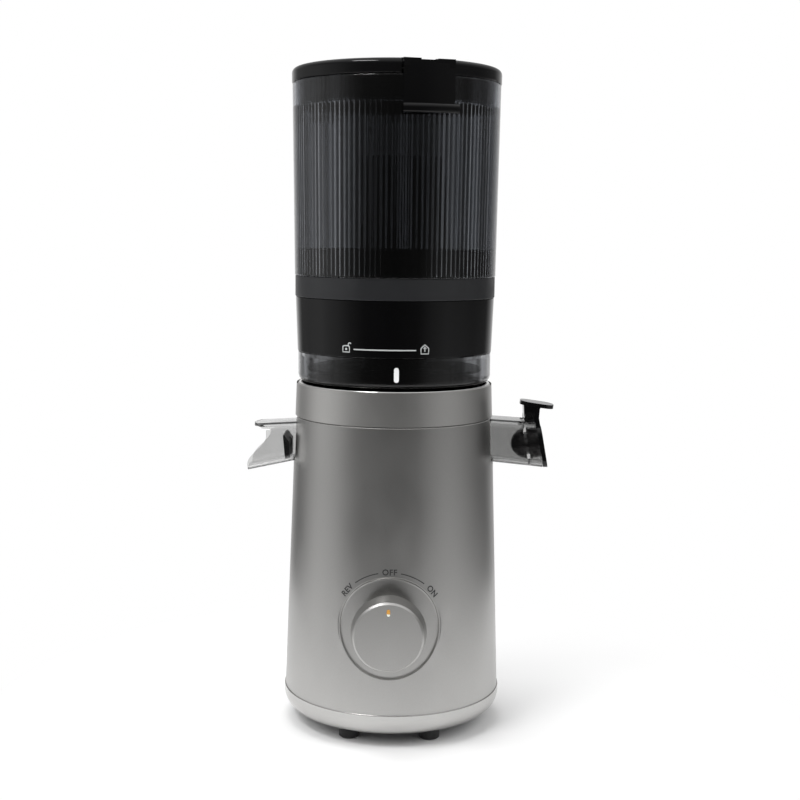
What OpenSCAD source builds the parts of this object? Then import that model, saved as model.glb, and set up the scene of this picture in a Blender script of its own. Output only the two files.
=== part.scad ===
// Cold press juicer: a silver motor stand with a dial, a clear bowl with its strainer, screw and two
// spouts, and a smoky hopper with a hinged lid.
// Millimetres, +Z up, front towards -Y. The origin is on the vertical axis, on the countertop.

/* [Feet and bottom trim] */
// Height of the rubber feet
foot_h = 8.7; // [6:0.1:12]
// Diameter of each foot
foot_d = 14.3; // [10:0.1:18]
// Distance between the left and the right feet
foot_gap_x = 56; // [44:1:60]
// Distance between the front and the rear feet
foot_gap_y = 100; // [84:1:102]
// Height of the trim ring round the bottom
trim_h = 16.3; // [14:0.1:22]
// Width of the trim's rounded underside, from the base plate to the shell
trim_round = 11.3; // [9:0.1:13]
// How far the trim stands proud of the shell above it
trim_proud = 0.7; // [0.3:0.1:2]
// Wall of the trim
trim_wall = 2.2; // [1.6:0.1:3]
// Thickness of the base plate
plate_t = 3; // [2:0.1:5]
// Height of the rim that stiffens the base plate
plate_rim_h = 5; // [2:0.1:8]
// Thickness of that rim
plate_rim_t = 2.4; // [1.6:0.1:3]
// Width of a cooling slot in the base plate
vent_w = 3; // [2:0.1:4]
// Length of a cooling slot
vent_len = 30; // [16:1:44]
// Distance from one cooling slot to the next
vent_step = 6.5; // [5:0.1:10]

/* [Stand shell] */
// Height of the shell from the trim to the seam
shell_h = 196; // [190:1:210]
// Radius of the shell at the trim
shell_bottom_r = 77.3; // [76:0.1:80]
// Radius of the shell at the seam
shell_top_r = 70.4; // [70:0.1:73]
// Wall of the shell
shell_wall = 2.4; // [1.6:0.1:3]
// Width of the notch that each spout lies in
notch_w = 35; // [34.4:0.1:38]
// Depth of the notch below the seam
notch_deep = 33.5; // [33.2:0.1:35]
// Radius of the notch's lower corners
notch_r = 7; // [3:0.1:10]
// Width of the square hole that the cord gland sits in, so that the gland can't turn
cord_hole_w = 12; // [10:0.1:16]
// Bore of the cord gland
gland_bore_d = 7.4; // [5:0.1:8]
// Height of the cord gland above the countertop
gland_z = 46; // [40:1:60]

/* [Dial] */
// Height of the dial's axis above the countertop
dial_z = 85; // [78:1:92]
// Diameter of the shallow ring recess round the dial
dial_recess_d = 70.4; // [60:0.1:80]
// Depth of that recess
dial_recess_deep = 0.9; // [0.4:0.1:1.4]
// Diameter of the fixed seat behind the knob
dial_seat_d = 46; // [40:0.1:48]
// Height of the seat above the shell
dial_seat_proud = 8; // [4:0.1:10]
// Diameter of the knob at its base
knob_d = 51; // [50:0.1:56]
// Diameter of the knob's face
knob_face_d = 45; // [42:0.1:46]
// Depth of the knob from its base to its face
knob_deep = 12.6; // [10:0.1:18]
// Width of the bevel round the face
knob_bevel = 1.3; // [0.6:0.1:2.4]
// Wall of the knob
knob_wall = 2.2; // [1.4:0.1:3]
// Diameter of the knob's shaft
knob_shaft_d = 6; // [5:0.1:8]
// Distance of the pointer mark from the dial's axis
marker_r = 17; // [10:0.1:18]
// Length of the pointer mark
marker_len = 4.7; // [3:0.1:6]
// Width of the pointer mark
marker_w = 2.4; // [1.4:0.1:3]
// Width and height of the rotary switch behind the dial
switch_w = 28; // [24:0.5:32]
// Depth of the rotary switch
switch_deep = 19; // [16:0.5:21]

/* [Motor] */
// Outer diameter of the motor's can
motor_d = 88; // [80:0.5:90]
// Height of the motor's can
motor_h = 70; // [62:1:74]
// Wall of the motor's can
motor_wall = 1.6; // [1:0.1:2.4]
// Height of the lamination stack
stack_h = 36; // [28:1:40]
// Diameter of the rotor
rotor_d = 51.4; // [44:0.2:56]
// Air gap between the rotor and the stator
air_gap = 0.6; // [0.4:0.1:1]
// Number of slots in the stator
stator_slots = 12; // [8:1:18]
// Diameter of the motor shaft
shaft_d = 8; // [7:0.1:9]
// Diameter of the cooling fan
fan_d = 76; // [64:1:80]
// Number of fan blades
fan_blades = 9; // [5:1:13]
// Distance of the four frame posts from the axis
post_r = 57.5; // [56:0.5:58.5]
// Diameter of a frame post
post_d = 11; // [9:0.1:12]

/* [Gearbox] */
// Module of every gear: its pitch diameter in millimetres for each tooth
gear_module = 0.9; // [0.88:0.01:0.92]
// Teeth of the motor pinion
motor_pinion_teeth = 13; // [13:1:14]
// Teeth of the large gear on the layshaft
lay_gear_teeth = 59; // [58:1:59]
// Play between the flanks of two meshed teeth
backlash = 0.3; // [0.2:0.05:0.4]
// Space between the large gear and the gearbox case
case_gap = 1.3; // [0.8:0.1:2]
// Height of the gearbox case without its cover
gearbox_h = 42; // [42:0.5:46]
// Wall of the gearbox case
gearbox_wall = 3; // [2:0.1:3]
// Thickness of the gearbox cover
cover_t = 3; // [2:0.1:5]
// Face width of the large gear and of the motor pinion
first_face = 8; // [6:0.5:9]
// Face width of the output gear
output_face = 13; // [10:0.5:14]
// Diameter of the layshaft pin
lay_pin_d = 5; // [4:0.1:5.6]
// Diameter of the drive shaft
drive_d = 14; // [12:0.1:15]
// Width across the flats of the drive shaft's hexagon
drive_hex = 12; // [9:0.1:12]
// Height of the deck that carries the bowl
deck_h = 7; // [6:0.5:10]

/* [Bowl] */
// Depth of the bowl's floor below the seam
bowl_deep = 37; // [36.6:0.1:40]
// Space between the shell's inside and the bowl
bowl_gap = 5.5; // [5:0.1:8]
// How far the clear band above the collar stands in from the collar
band_inset = 1.1; // [0.6:0.1:2]
// Wall of the bowl
bowl_wall = 2.5; // [2:0.1:3]
// How far the rim inside the skirt stands in from the clear band
rim_inset = 3.9; // [3.4:0.1:4.4]
// Height of the rim above the bowl's shoulder
bowl_rim_h = 29; // [26:0.5:30]
// Height of the silver collar
collar_h = 24; // [20:0.5:25]
// How much narrower the collar is at its top than at the seam
collar_taper = 0.9; // [0:0.1:1.6]
// Wall of the collar
collar_wall = 2.2; // [1.6:0.1:2.6]
// Radius of the collar's rounded top edge
collar_edge_r = 3.6; // [2:0.1:4.5]
// Width of the dark seam between the shell and the collar
seam_gap = 0.6; // [0.3:0.1:1]
// Height of the clear band that shows above the collar
band_show = 22; // [20:0.5:26]
// Inner radius of the strainer
strainer_r = 43.2; // [42:0.1:46]
// Wall of the strainer
strainer_wall = 2.2; // [1.6:0.1:3]
// Number of slots round the strainer
strainer_slots = 30; // [16:2:36]
// Width of a strainer slot
slot_w = 2; // [1.2:0.1:2.6]
// Angle that one lug takes up
lug_angle = 12; // [8:0.5:14]
// Height of a lug
lug_h = 5; // [4:0.1:6]

/* [Spouts] */
// Width of both spouts
spout_w = 32.4; // [30:0.1:33.6]
// Depth of both spouts' floors below the seam, where they leave the bowl
spout_deep = 30.8; // [30:0.1:31.6]
// Depth of the juice spout's roof below the seam
juice_roof_deep = 0.6; // [0.4:0.1:2]
// Depth of the pulp spout's roof below the seam
pulp_roof_deep = 4.2; // [2:0.1:5]
// Downward slope of both roofs, in degrees
roof_slope = 3.4; // [0:0.1:5]
// Downward slope of the juice spout's floor, in degrees
juice_floor_slope = 5.5; // [2:0.1:8]
// Downward slope of the pulp spout's floor, in degrees
pulp_floor_slope = 12.2; // [6:0.1:14]
// Wall of the spouts
spout_wall = 2.2; // [1.6:0.1:2.6]
// Radius of the spouts' rounded long edges
spout_r = 6; // [4:0.1:8]
// Length of the juice spout from the bowl to the top of its mouth
juice_reach = 38; // [36:0.1:40]
// How far the foot of that mouth stands out beyond its top
mouth_lean = 5.9; // [4:0.1:7]
// Length of the pulp spout from the bowl to the foot of its mouth
pulp_reach = 40.9; // [39:0.1:43]
// Length of the pulp spout from the bowl to the tip of its visor
visor_reach = 37.5; // [35:0.1:39]
// How far the visor stands out over the top of the mouth
visor_over = 10; // [6:0.1:12]
// Depth of the visor's side walls
visor_h = 3.4; // [2.4:0.1:4.4]

/* [Juice cap] */
// Distance of the cap's pivot in from the top of the mouth
cap_pivot_in = 3.3; // [2.9:0.1:3.7]
// Height of the pivot above the spout's roof
cap_pivot_up = 2.3; // [2.1:0.1:2.8]
// Diameter of the cap's pin
cap_pin_d = 3; // [2.4:0.1:3.4]
// Distance between the two ears that hold the pin
ear_gap = 16; // [15:0.1:18]
// Thickness of an ear
ear_t = 2.5; // [2:0.1:3]
// Length of the cap's thumb plate
thumb_len = 24; // [20:0.5:26]
// Width of the cap's thumb plate
thumb_w = 19; // [16:0.5:24]
// Thickness of the thumb plate
thumb_t = 2.8; // [2:0.1:3.4]
// Downward slope of the thumb plate, in degrees
thumb_slope = 8; // [4:0.5:10]
// Thickness of the flap over the mouth
flap_t = 3.2; // [2.4:0.1:4]
// Diameter of the silicone plug
plug_d = 22.6; // [20:0.1:23.4]
// Length of the silicone plug
plug_len = 19.6; // [17:0.1:21]
// How far the plug's sealing lip stands out
plug_lip = 0.9; // [0.6:0.1:1]

/* [Screw] */
// Play between the screw's flights and the strainer
screw_gap = 0.6; // [0.4:0.1:1.2]
// Radius of the screw's core
screw_core_r = 24; // [20:0.1:28]
// Number of flights
screw_starts = 2; // [1:1:3]
// Turn of the flights from the bottom to the top, in degrees
screw_turn = 330; // [180:10:420]
// Angle that a flight takes up at its root
flight_root = 44; // [30:1:60]
// Angle that a flight takes up at its edge
flight_tip = 13; // [8:1:20]
// Radius of the neck in the hopper's throat
neck_r = 17; // [14:0.1:19]
// Height of the hub's dome above the countertop line of the hopper's floor
hub_rise = 56; // [40:1:64]
// Radius of the hub's dome
hub_r = 7.6; // [6:0.1:10]
// Height of the cutting wing above the throat
wing_rise = 103; // [80:1:110]
// Thickness of the cutting wing
wing_t = 4.2; // [3:0.1:5]
// Reach of the wing from the axis at its foot
wing_reach = 24; // [20:0.5:27]

/* [Hopper] */
// Height of the black skirt
skirt_h = 38.5; // [36:0.5:42]
// How far the skirt's bottom stands out over the bowl's clear band
skirt_over = 0.4; // [0.2:0.1:1]
// How much wider the skirt is at its top
skirt_flare = 1.4; // [0:0.1:2]
// Height of the dark grey band
hopper_band_h = 14.6; // [10:0.1:18]
// How far the band stands out over the skirt
band_proud = 0.3; // [0.1:0.1:0.8]
// Height of the smoky tube
tube_h = 131.8; // [110:0.5:150]
// How far the tube's bottom stands out over the band
tube_proud = 0.4; // [0.1:0.1:1]
// How much wider the tube is at its top
tube_flare = 1.7; // [0:0.1:2.4]
// Wall of the tube
tube_wall = 2.4; // [1.8:0.1:2.8]
// Inner radius of the throat that feeds the screw
throat_r = 31; // [29.5:0.1:33]
// Height of the floor's rim above the throat
floor_rise = 38; // [26:0.5:44]
// Wall of the hopper's floor
floor_wall = 2.2; // [1.6:0.1:3]
// Width of the silicone seal that lies on the bowl's rim
seal_w = 3.4; // [2.4:0.1:4]
// Turn from straight ahead to the open mark, in degrees
open_turn = 26.5; // [22:0.5:32]

/* [Lid] */
// Height of the lid's rim
lid_rim_h = 10; // [9:0.1:12]
// How far the lid's rim stands out over the tube
lid_over = 0.4; // [0.2:0.1:1]
// Radius of the rim's rounded upper edge
lid_edge_r = 3.4; // [2:0.1:4]
// Rise of the lid's dome above the rim
lid_dome_h = 2; // [1:0.1:4]
// Depth of the plug ring inside the tube
lid_plug_deep = 15; // [10:0.5:20]
// Distance of the lid's hinge behind its rim
hinge_out = 5; // [4.6:0.1:7]
// Diameter of the lid's hinge pin
lid_pin_d = 3; // [2.4:0.1:3.6]
// Width of the lid's knuckle
knuckle_w = 16; // [12:0.5:22]
// Width of the latch plate
latch_w = 35.2; // [30:0.2:36]
// Length of the latch from the lid's rim to the bottom of its lip
latch_len = 35.3; // [30:0.1:40]
// Width of the latch's finger lip
lip_w = 38.4; // [38:0.1:42]
// Reach of the finger lip from the latch plate
lip_reach = 6.4; // [4:0.1:8]
// Height of the finger lip
lip_h = 6.4; // [5:0.1:8]
// Diameter of the latch's pin
latch_pin_d = 2; // [1.6:0.1:2.2]

/* [Hidden] */

// Clearances that every fit shares
fit_gap = 0.2;         // between round pieces that don't move on each other
run_gap = 0.05;        // between a shaft and its bore
free_gap = 0.3;        // between pieces that move past each other
nudge = 0.02;          // how far a cut runs past the face that it opens
past = 5;              // how far a long cut runs past the solid
$fn = 96;

// Counts and angles that the joints rely on
lay_pinion_teeth = 12; // small pinion on the layshaft
output_teeth = 60;     // output gear under the drive shaft
lug_count = 3;         // bayonet lugs on the bowl's rim
hopper_turn = 18;      // turn of the whole hopper away from straight ahead at rest, in degrees

// Colours
silver = [0.62, 0.62, 0.61];
bright = [0.78, 0.78, 0.77];
steel = [0.66, 0.67, 0.69];
rubber_black = [0.05, 0.05, 0.05];
gloss_black = [0.03, 0.03, 0.035];
band_grey = [0.22, 0.22, 0.24];
smoke = [0.25, 0.26, 0.28, 0.45];
clear_grey = [0.7, 0.71, 0.72, 0.4];
silicone = [0.45, 0.46, 0.47];
nylon = [0.86, 0.84, 0.78];
copper = [0.72, 0.42, 0.25];
board_green = [0.1, 0.35, 0.2];
marker_orange = [0.95, 0.5, 0.1];

// Heights that follow from the driving sizes
trim_top = foot_h + trim_h;
seam_z = trim_top + shell_h;
collar_z = seam_z + seam_gap;
collar_top = seam_z + collar_h;
shoulder_z = collar_top + band_show;
rim_top = shoulder_z + bowl_rim_h;
skirt_z = shoulder_z + free_gap;
skirt_top = skirt_z + skirt_h;
tube_z = skirt_top + hopper_band_h;
tube_top = tube_z + tube_h;
lid_z = tube_top + free_gap;
lid_rim_top = lid_z + lid_rim_h;
bowl_z = seam_z - bowl_deep;
deck_z = bowl_z - deck_h;
cover_z = deck_z - cover_t;
gearbox_z = cover_z - gearbox_h;
can_z = gearbox_z - motor_h;
plate_top = foot_h + plate_t;

// Radii that follow from the driving sizes
trim_r = shell_bottom_r + trim_proud;
trim_bottom_r = shell_bottom_r - trim_round;
plate_r = trim_bottom_r - fit_gap;
collar_top_r = shell_top_r - collar_taper;
bowl_r = shell_top_r - shell_wall - bowl_gap;
bowl_band_r = collar_top_r - band_inset;
bowl_rim_r = bowl_band_r - rim_inset;
skirt_bottom_r = bowl_band_r + skirt_over;
skirt_top_r = skirt_bottom_r + skirt_flare;
hopper_band_r = skirt_top_r + band_proud;
tube_bottom_r = hopper_band_r + tube_proud;
tube_top_r = tube_bottom_r + tube_flare;
lid_r = tube_top_r + lid_over;
hinge_r = lid_r + hinge_out;
screw_r = strainer_r - screw_gap;
shell_slope = (shell_top_r - shell_bottom_r) / shell_h;
function shell_r(z) = shell_bottom_r + (z - trim_top) * shell_slope;
function shell_inner_r(z) = shell_r(z) - shell_wall;
tube_slope = (tube_top_r - tube_bottom_r) / tube_h;
function tube_r(z) = tube_bottom_r + (z - tube_z) * tube_slope;
skirt_slope = (skirt_top_r - skirt_bottom_r) / skirt_h;
function skirt_r(z) = skirt_bottom_r + (z - skirt_z) * skirt_slope;

// A cylinder between two radii, standing at height z
module ring(outer, inner, z, h) {
  translate([0, 0, z])
    difference() {
      cylinder(h = h, r = outer);
      translate([0, 0, -nudge]) cylinder(h = h + 2 * nudge, r = inner);
    }
}

// The sharp bit of a profile corner at (x, y), to be cut away; (dx, dy) points out of the corner
module corner_bit(x, y, r, dx, dy) {
  translate([x - dx * r, y - dy * r])
    difference() {
      translate([dx > 0 ? 0 : -r - nudge, dy > 0 ? 0 : -r - nudge]) square(r + nudge);
      circle(r = r);
    }
}

// A rectangle with four round corners, centred
module round_rect(w, h, r) {
  square([w, h - 2 * r], center = true);
  square([w - 2 * r, h], center = true);
  for (x = [-1, 1], y = [-1, 1])
    translate([x * (w / 2 - r), y * (h / 2 - r)]) circle(r = r);
}

// A section of a revolved profile, from angle `from` over angle `span`
module revolve_arc(from, span) {
  rotate([0, 0, from]) rotate_extrude(angle = span) children();
}

// Points along an ellipse's arc
function arc_points(cx, cy, rx, ry, from, to, steps) =
  [for (i = [0:steps]) let (a = from + (to - from) * i / steps) [cx + rx * cos(a), cy + ry * sin(a)]];

// Lays a shape drawn along +Z so that it points forward, along -Y, from height z
module forward(z) {
  translate([0, 0, z]) rotate([90, 0, 0]) children();
}

// Stands a shape drawn along +Z so that it points along +X
module sideways() {
  rotate([0, 90, 0]) children();
}

// Turns what belongs to the hopper to where the hopper rests
module with_hopper() {
  rotate([0, 0, hopper_turn]) children();
}

// ---------------------------------------------------------------- stand: bottom

fastener_head_r = 3.4;
fastener_head_h = 2.2;
fastener_r = 1.7;
foot_seat = 1.2;
foot_chamfer = 1;
post_screw_len = 12;

module foot_places() {
  for (x = [-1, 1], y = [-1, 1])
    translate([x * foot_gap_x / 2, y * foot_gap_y / 2, 0]) children();
}

module post_places() {
  for (a = [45:90:315])
    rotate([0, 0, a]) translate([post_r, 0, 0]) children();
}

module base_plate() {
  vents = floor((plate_r - post_d) / 2 / vent_step);
  color(rubber_black)
    difference() {
      union() {
        translate([0, 0, foot_h]) cylinder(h = plate_t, r = plate_r);
        ring(plate_r, plate_r - plate_rim_t, plate_top - nudge, plate_rim_h + nudge);
      }
      for (i = [-vents:vents])
        translate([i * vent_step, 0, foot_h])
          cube([vent_w, vent_len, 3 * plate_t], center = true);
      foot_places()
        translate([0, 0, foot_h - nudge]) cylinder(h = foot_seat + nudge, d = foot_d + 2 * fit_gap);
      post_places() {
        translate([0, 0, foot_h - nudge]) cylinder(h = plate_t + 2 * nudge, r = fastener_r + fit_gap);
        translate([0, 0, foot_h - nudge])
          cylinder(h = plate_t / 2 + nudge, r = fastener_head_r + fit_gap);
      }
    }
}

module feet() {
  color(rubber_black)
    foot_places() {
      cylinder(h = foot_chamfer, d1 = foot_d - 2 * foot_chamfer, d2 = foot_d);
      translate([0, 0, foot_chamfer - nudge])
        cylinder(h = foot_h + foot_seat - foot_chamfer + nudge, d = foot_d);
    }
}

module plate_screws() {
  color(steel)
    post_places() {
      head_top = foot_h + plate_t / 2;
      translate([0, 0, head_top - plate_t / 2 + nudge])
        cylinder(h = plate_t / 2 - nudge, r = fastener_head_r);
      translate([0, 0, head_top - nudge]) cylinder(h = post_screw_len, r = fastener_r);
    }
}

// The rounded ring under the shell: a quarter-round wall, an inner collar round the base plate and a
// tongue inside the shell
module base_trim() {
  round_r = trim_r - trim_bottom_r;
  tongue_r = shell_inner_r(trim_top) - fit_gap;
  tongue_h = 4;
  tongue_t = 1.8;
  collar_rise = 7;
  color(bright)
    rotate_extrude() {
      difference() {
        translate([trim_bottom_r, foot_h]) square([round_r, trim_h]);
        translate([trim_bottom_r, foot_h + round_r])
          difference() {
            translate([0, -round_r - nudge]) square(round_r + nudge);
            circle(r = round_r);
          }
        translate([trim_bottom_r, foot_h + round_r])
          intersection() {
            circle(r = round_r - trim_wall);
            translate([-nudge, -round_r]) square(round_r);
          }
        translate([trim_bottom_r - nudge, foot_h + round_r - nudge])
          square([round_r - trim_wall + nudge, trim_h]);
        corner_bit(trim_r, trim_top, trim_proud, 1, 1);
      }
      translate([trim_bottom_r, foot_h + trim_wall - nudge]) square([trim_wall, collar_rise]);
      translate([tongue_r - tongue_t, trim_top - tongue_h])
        square([trim_r - trim_wall - tongue_r + tongue_t + nudge, tongue_h]);
      translate([tongue_r - tongue_t, trim_top - nudge]) square([tongue_t, tongue_h]);
    }
}

// ---------------------------------------------------------------- stand: shell and dial

dial_wall_r = shell_r(dial_z);
seat_front = dial_wall_r + dial_seat_proud;
seat_back = dial_wall_r - 2 * shell_wall;
dial_hole_r = knob_shaft_d / 2 + 1;

module shell_cone(grow) {
  rotate_extrude()
    polygon([
      [0, trim_top - past],
      [shell_r(trim_top - past) + grow, trim_top - past],
      [shell_r(seam_z + past) + grow, seam_z + past],
      [0, seam_z + past],
    ]);
}

// The notch that a spout drops into, open at the seam
module notch_cut() {
  translate([shell_top_r / 2, 0, seam_z - notch_deep])
    rotate([90, 0, 90])
      linear_extrude(height = shell_top_r) {
        translate([-notch_w / 2, notch_r]) square([notch_w, notch_deep + past - notch_r]);
        translate([-notch_w / 2 + notch_r, 0]) square([notch_w - 2 * notch_r, notch_r + nudge]);
        for (side = [-1, 1])
          translate([side * (notch_w / 2 - notch_r), notch_r]) circle(r = notch_r);
      }
}

module body_shell() {
  edge = 0.5;
  color(silver)
    difference() {
      union() {
        rotate_extrude()
          polygon([
            [shell_inner_r(trim_top), trim_top],
            [shell_r(trim_top), trim_top],
            [shell_r(seam_z - edge), seam_z - edge],
            [shell_r(seam_z) - edge, seam_z],
            [shell_inner_r(seam_z), seam_z],
          ]);
        forward(dial_z)
          translate([0, 0, seat_back]) cylinder(h = seat_front - seat_back, d = dial_seat_d);
      }
      difference() {
        forward(dial_z) cylinder(h = dial_wall_r + past, d = dial_recess_d);
        shell_cone(-dial_recess_deep);
        forward(dial_z) cylinder(h = dial_wall_r + 2 * past, d = dial_seat_d);
      }
      forward(dial_z) cylinder(h = seat_front + past, r = dial_hole_r);
      for (side = [0, 180])
        rotate([0, 0, side]) notch_cut();
      translate([0, 0, gland_z])
        rotate([-90, 0, 0])
          linear_extrude(height = shell_bottom_r + past)
            round_rect(cord_hole_w + 2 * fit_gap, cord_hole_w + 2 * fit_gap, gland_corner_r + fit_gap);
    }
}

gland_corner_r = 1.5;
gland_flange_t = 2;
gland_flange_d = cord_hole_w + 6;
gland_y = shell_r(gland_z - gland_flange_d / 2) + nudge;
gland_in = 3 * shell_wall;

module cord_gland() {
  color(rubber_black)
    translate([0, 0, gland_z])
      rotate([-90, 0, 0])
        difference() {
          union() {
            translate([0, 0, gland_y - gland_in])
              linear_extrude(height = gland_in + gland_flange_t / 2)
                round_rect(cord_hole_w, cord_hole_w, gland_corner_r);
            translate([0, 0, gland_y]) cylinder(h = gland_flange_t, d = gland_flange_d);
            translate([0, 0, gland_y - gland_in])
              cylinder(h = gland_flange_t / 2, d = gland_flange_d);
          }
          cylinder(h = gland_y + past, d = gland_bore_d);
        }
}

// ---------------------------------------------------------------- dial

knob_back = seat_front + free_gap;
knob_front = knob_back + knob_deep;
marker_deep = 0.8;
knob_hub_r = knob_shaft_d / 2 + 3.2;
knob_pocket = knob_front - knob_wall;

module marker_pill(length, width, h) {
  for (end = [-1, 1])
    translate([0, end * (length - width) / 2, 0]) cylinder(h = h, d = width);
  translate([-width / 2, -(length - width) / 2, 0]) cube([width, length - width, h]);
}

module knob() {
  color(silver)
    forward(dial_z)
      difference() {
        union() {
          difference() {
            rotate_extrude()
              polygon([
                [0, knob_back],
                [knob_d / 2, knob_back],
                [knob_face_d / 2 + knob_bevel, knob_front - knob_bevel],
                [knob_face_d / 2, knob_front],
                [0, knob_front],
              ]);
            translate([0, 0, knob_back - nudge])
              cylinder(
                h = knob_pocket - knob_back + nudge,
                r1 = knob_d / 2 - knob_wall,
                r2 = knob_face_d / 2 + knob_bevel - knob_wall
              );
          }
          translate([0, 0, knob_back + 2]) cylinder(h = knob_pocket - knob_back - 1, r = knob_hub_r);
        }
        cylinder(h = knob_pocket - knob_wall, r = knob_shaft_d / 2 + fit_gap / 2);
        translate([0, marker_r, knob_front - marker_deep])
          marker_pill(marker_len + fit_gap, marker_w + fit_gap, marker_deep + nudge);
      }
}

module knob_marker() {
  color(marker_orange)
    forward(dial_z)
      translate([0, marker_r, knob_front - marker_deep]) marker_pill(marker_len, marker_w, marker_deep);
}

module knob_shaft() {
  color(steel)
    forward(dial_z)
      translate([0, 0, seat_back - switch_deep / 2])
        cylinder(h = knob_pocket - knob_wall - seat_back + switch_deep / 2, d = knob_shaft_d);
}

module rotary_switch() {
  tab = [1, 5, 4];
  color(rubber_black)
    forward(dial_z)
      difference() {
        union() {
          translate([-switch_w / 2, -switch_w / 2, seat_back - switch_deep])
            cube([switch_w, switch_w, switch_deep]);
          for (x = [-1, 0, 1])
            translate([x * switch_w / 3 - tab.x / 2, -tab.y / 2, seat_back - switch_deep - tab.z])
              cube([tab.x, tab.y, tab.z + nudge]);
        }
        translate([0, 0, seat_back - switch_deep / 2 - 1])
          cylinder(h = switch_deep, r = knob_shaft_d / 2 + run_gap);
      }
}

// ---------------------------------------------------------------- motor

shaft_low = can_z - 22;
bell_t = 5;
bearing_t = 5;
bearing_r = shaft_d;
pinion_shaft_d = 6;
stack_z = can_z + (motor_h - stack_h) / 2;
motor_r = motor_d / 2;
can_inner = motor_r - motor_wall;

module frame_posts() {
  color(steel)
    post_places()
      translate([0, 0, plate_top])
        difference() {
          cylinder(h = gearbox_z - plate_top, d = post_d);
          translate([0, 0, -nudge]) cylinder(h = post_screw_len + 2, r = fastener_r + fit_gap / 2);
          translate([0, 0, gearbox_z - plate_top - post_screw_len])
            cylinder(h = post_screw_len + nudge, r = fastener_r + fit_gap / 2);
        }
}

module motor_can() {
  flange_r = motor_r + 4;
  window = [12, 26];
  color(steel)
    difference() {
      union() {
        ring(motor_r, can_inner, can_z, motor_h);
        ring(flange_r, can_inner, gearbox_z - 2, 2);
      }
      for (a = [0:60:300])
        rotate([0, 0, a])
          translate([can_inner - past, -window.x / 2, gearbox_z - window.y / 2 - 6])
            cube([2 * past, window.x, window.y / 2]);
    }
}

module motor_end_bell() {
  color(steel)
    difference() {
      union() {
        translate([0, 0, can_z - bell_t]) cylinder(h = bell_t, r = motor_r);
        ring(can_inner - fit_gap, can_inner - 3, can_z - nudge, 4);
      }
      translate([0, 0, can_z - bell_t - nudge])
        cylinder(h = bell_t + 2 * nudge, r = bearing_r + fit_gap / 2);
      for (a = [0:60:300])
        rotate([0, 0, a])
          translate([motor_r * 0.58, 0, can_z - bell_t - nudge])
            cylinder(h = bell_t + 2 * nudge, r = motor_r / 7);
    }
}

module stator() {
  bore_r = rotor_d / 2 + air_gap;
  slot_out = can_inner - 6;
  slot_in = bore_r + 3;
  color(steel)
    translate([0, 0, stack_z])
      difference() {
        cylinder(h = stack_h, r = can_inner - fit_gap);
        translate([0, 0, -nudge]) cylinder(h = stack_h + 2 * nudge, r = bore_r);
        for (i = [0:stator_slots - 1])
          rotate([0, 0, i * 360 / stator_slots])
            translate([slot_in, -2, -nudge]) cube([slot_out - slot_in, 4, stack_h + 2 * nudge]);
      }
}

module windings() {
  coil_in = rotor_d / 2 + air_gap + 2.5;
  coil_out = can_inner - 3.6;
  coil_h = 8;
  color(copper)
    for (end = [0, 1])
      translate([0, 0, stack_z + end * stack_h])
        mirror([0, 0, 1 - end])
          rotate_extrude()
            difference() {
              translate([coil_in, 0]) square([coil_out - coil_in, coil_h]);
              corner_bit(coil_in, coil_h, 3, -1, 1);
              corner_bit(coil_out, coil_h, 3, 1, 1);
            }
}

module rotor() {
  color(steel) {
    translate([0, 0, stack_z]) cylinder(h = stack_h, d = rotor_d);
    translate([0, 0, shaft_low]) cylinder(h = gearbox_z + gearbox_wall - shaft_low, d = shaft_d);
    translate([0, 0, gearbox_z]) cylinder(h = first_z + pinion_face - gearbox_z, d = pinion_shaft_d);
  }
}

module cooling_fan() {
  hub_h = 12;
  fan_z = shaft_low + 2;
  blade = [fan_d / 2 - shaft_d, 1.6, 10];
  blade_lean = 32;
  color(rubber_black)
    translate([0, 0, fan_z])
      difference() {
        union() {
          cylinder(h = hub_h, r = shaft_d);
          cylinder(h = 1.6, r = fan_d / 2);
          for (i = [0:fan_blades - 1])
            rotate([0, 0, i * 360 / fan_blades])
              translate([shaft_d - 1, 0, 1])
                rotate([0, 0, blade_lean])
                  cube([blade.x * cos(blade_lean) - 3, blade.y, blade.z]);
        }
        translate([0, 0, -nudge]) cylinder(h = hub_h + 2 * nudge, r = shaft_d / 2 + fit_gap / 2);
      }
}

module bearings() {
  color(bright) {
    ring(bearing_r, shaft_d / 2 + run_gap, can_z - bell_t, bearing_t);
    ring(bearing_r, shaft_d / 2 + run_gap, gearbox_z, gearbox_wall - nudge);
    ring(output_bearing_r, drive_d / 2 + run_gap, cover_z + cover_t - output_bearing_t, output_bearing_t);
  }
}

// ---------------------------------------------------------------- gears

pressure = 25;
addendum = 0.8 * gear_module;
dedendum = gear_module;
gear_distance = gear_module * (output_teeth + lay_pinion_teeth) / 2;
first_z = gearbox_z + gearbox_wall + 2.5;
pinion_face = first_face + 2;
output_z = first_z + pinion_face + 3;
output_bearing_r = drive_d;
output_bearing_t = 6;
lay_turn = 90;
cover_boss_r = 3.4;

function involute(a) = tan(a) * 180 / PI - a;
function base_r(pitch) = pitch * cos(pressure);
function tooth_half(pitch, teeth, r) =
  90 / teeth - backlash / 4 / pitch * 180 / PI + involute(pressure) - involute(acos(min(1, base_r(pitch) / r)));

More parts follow.
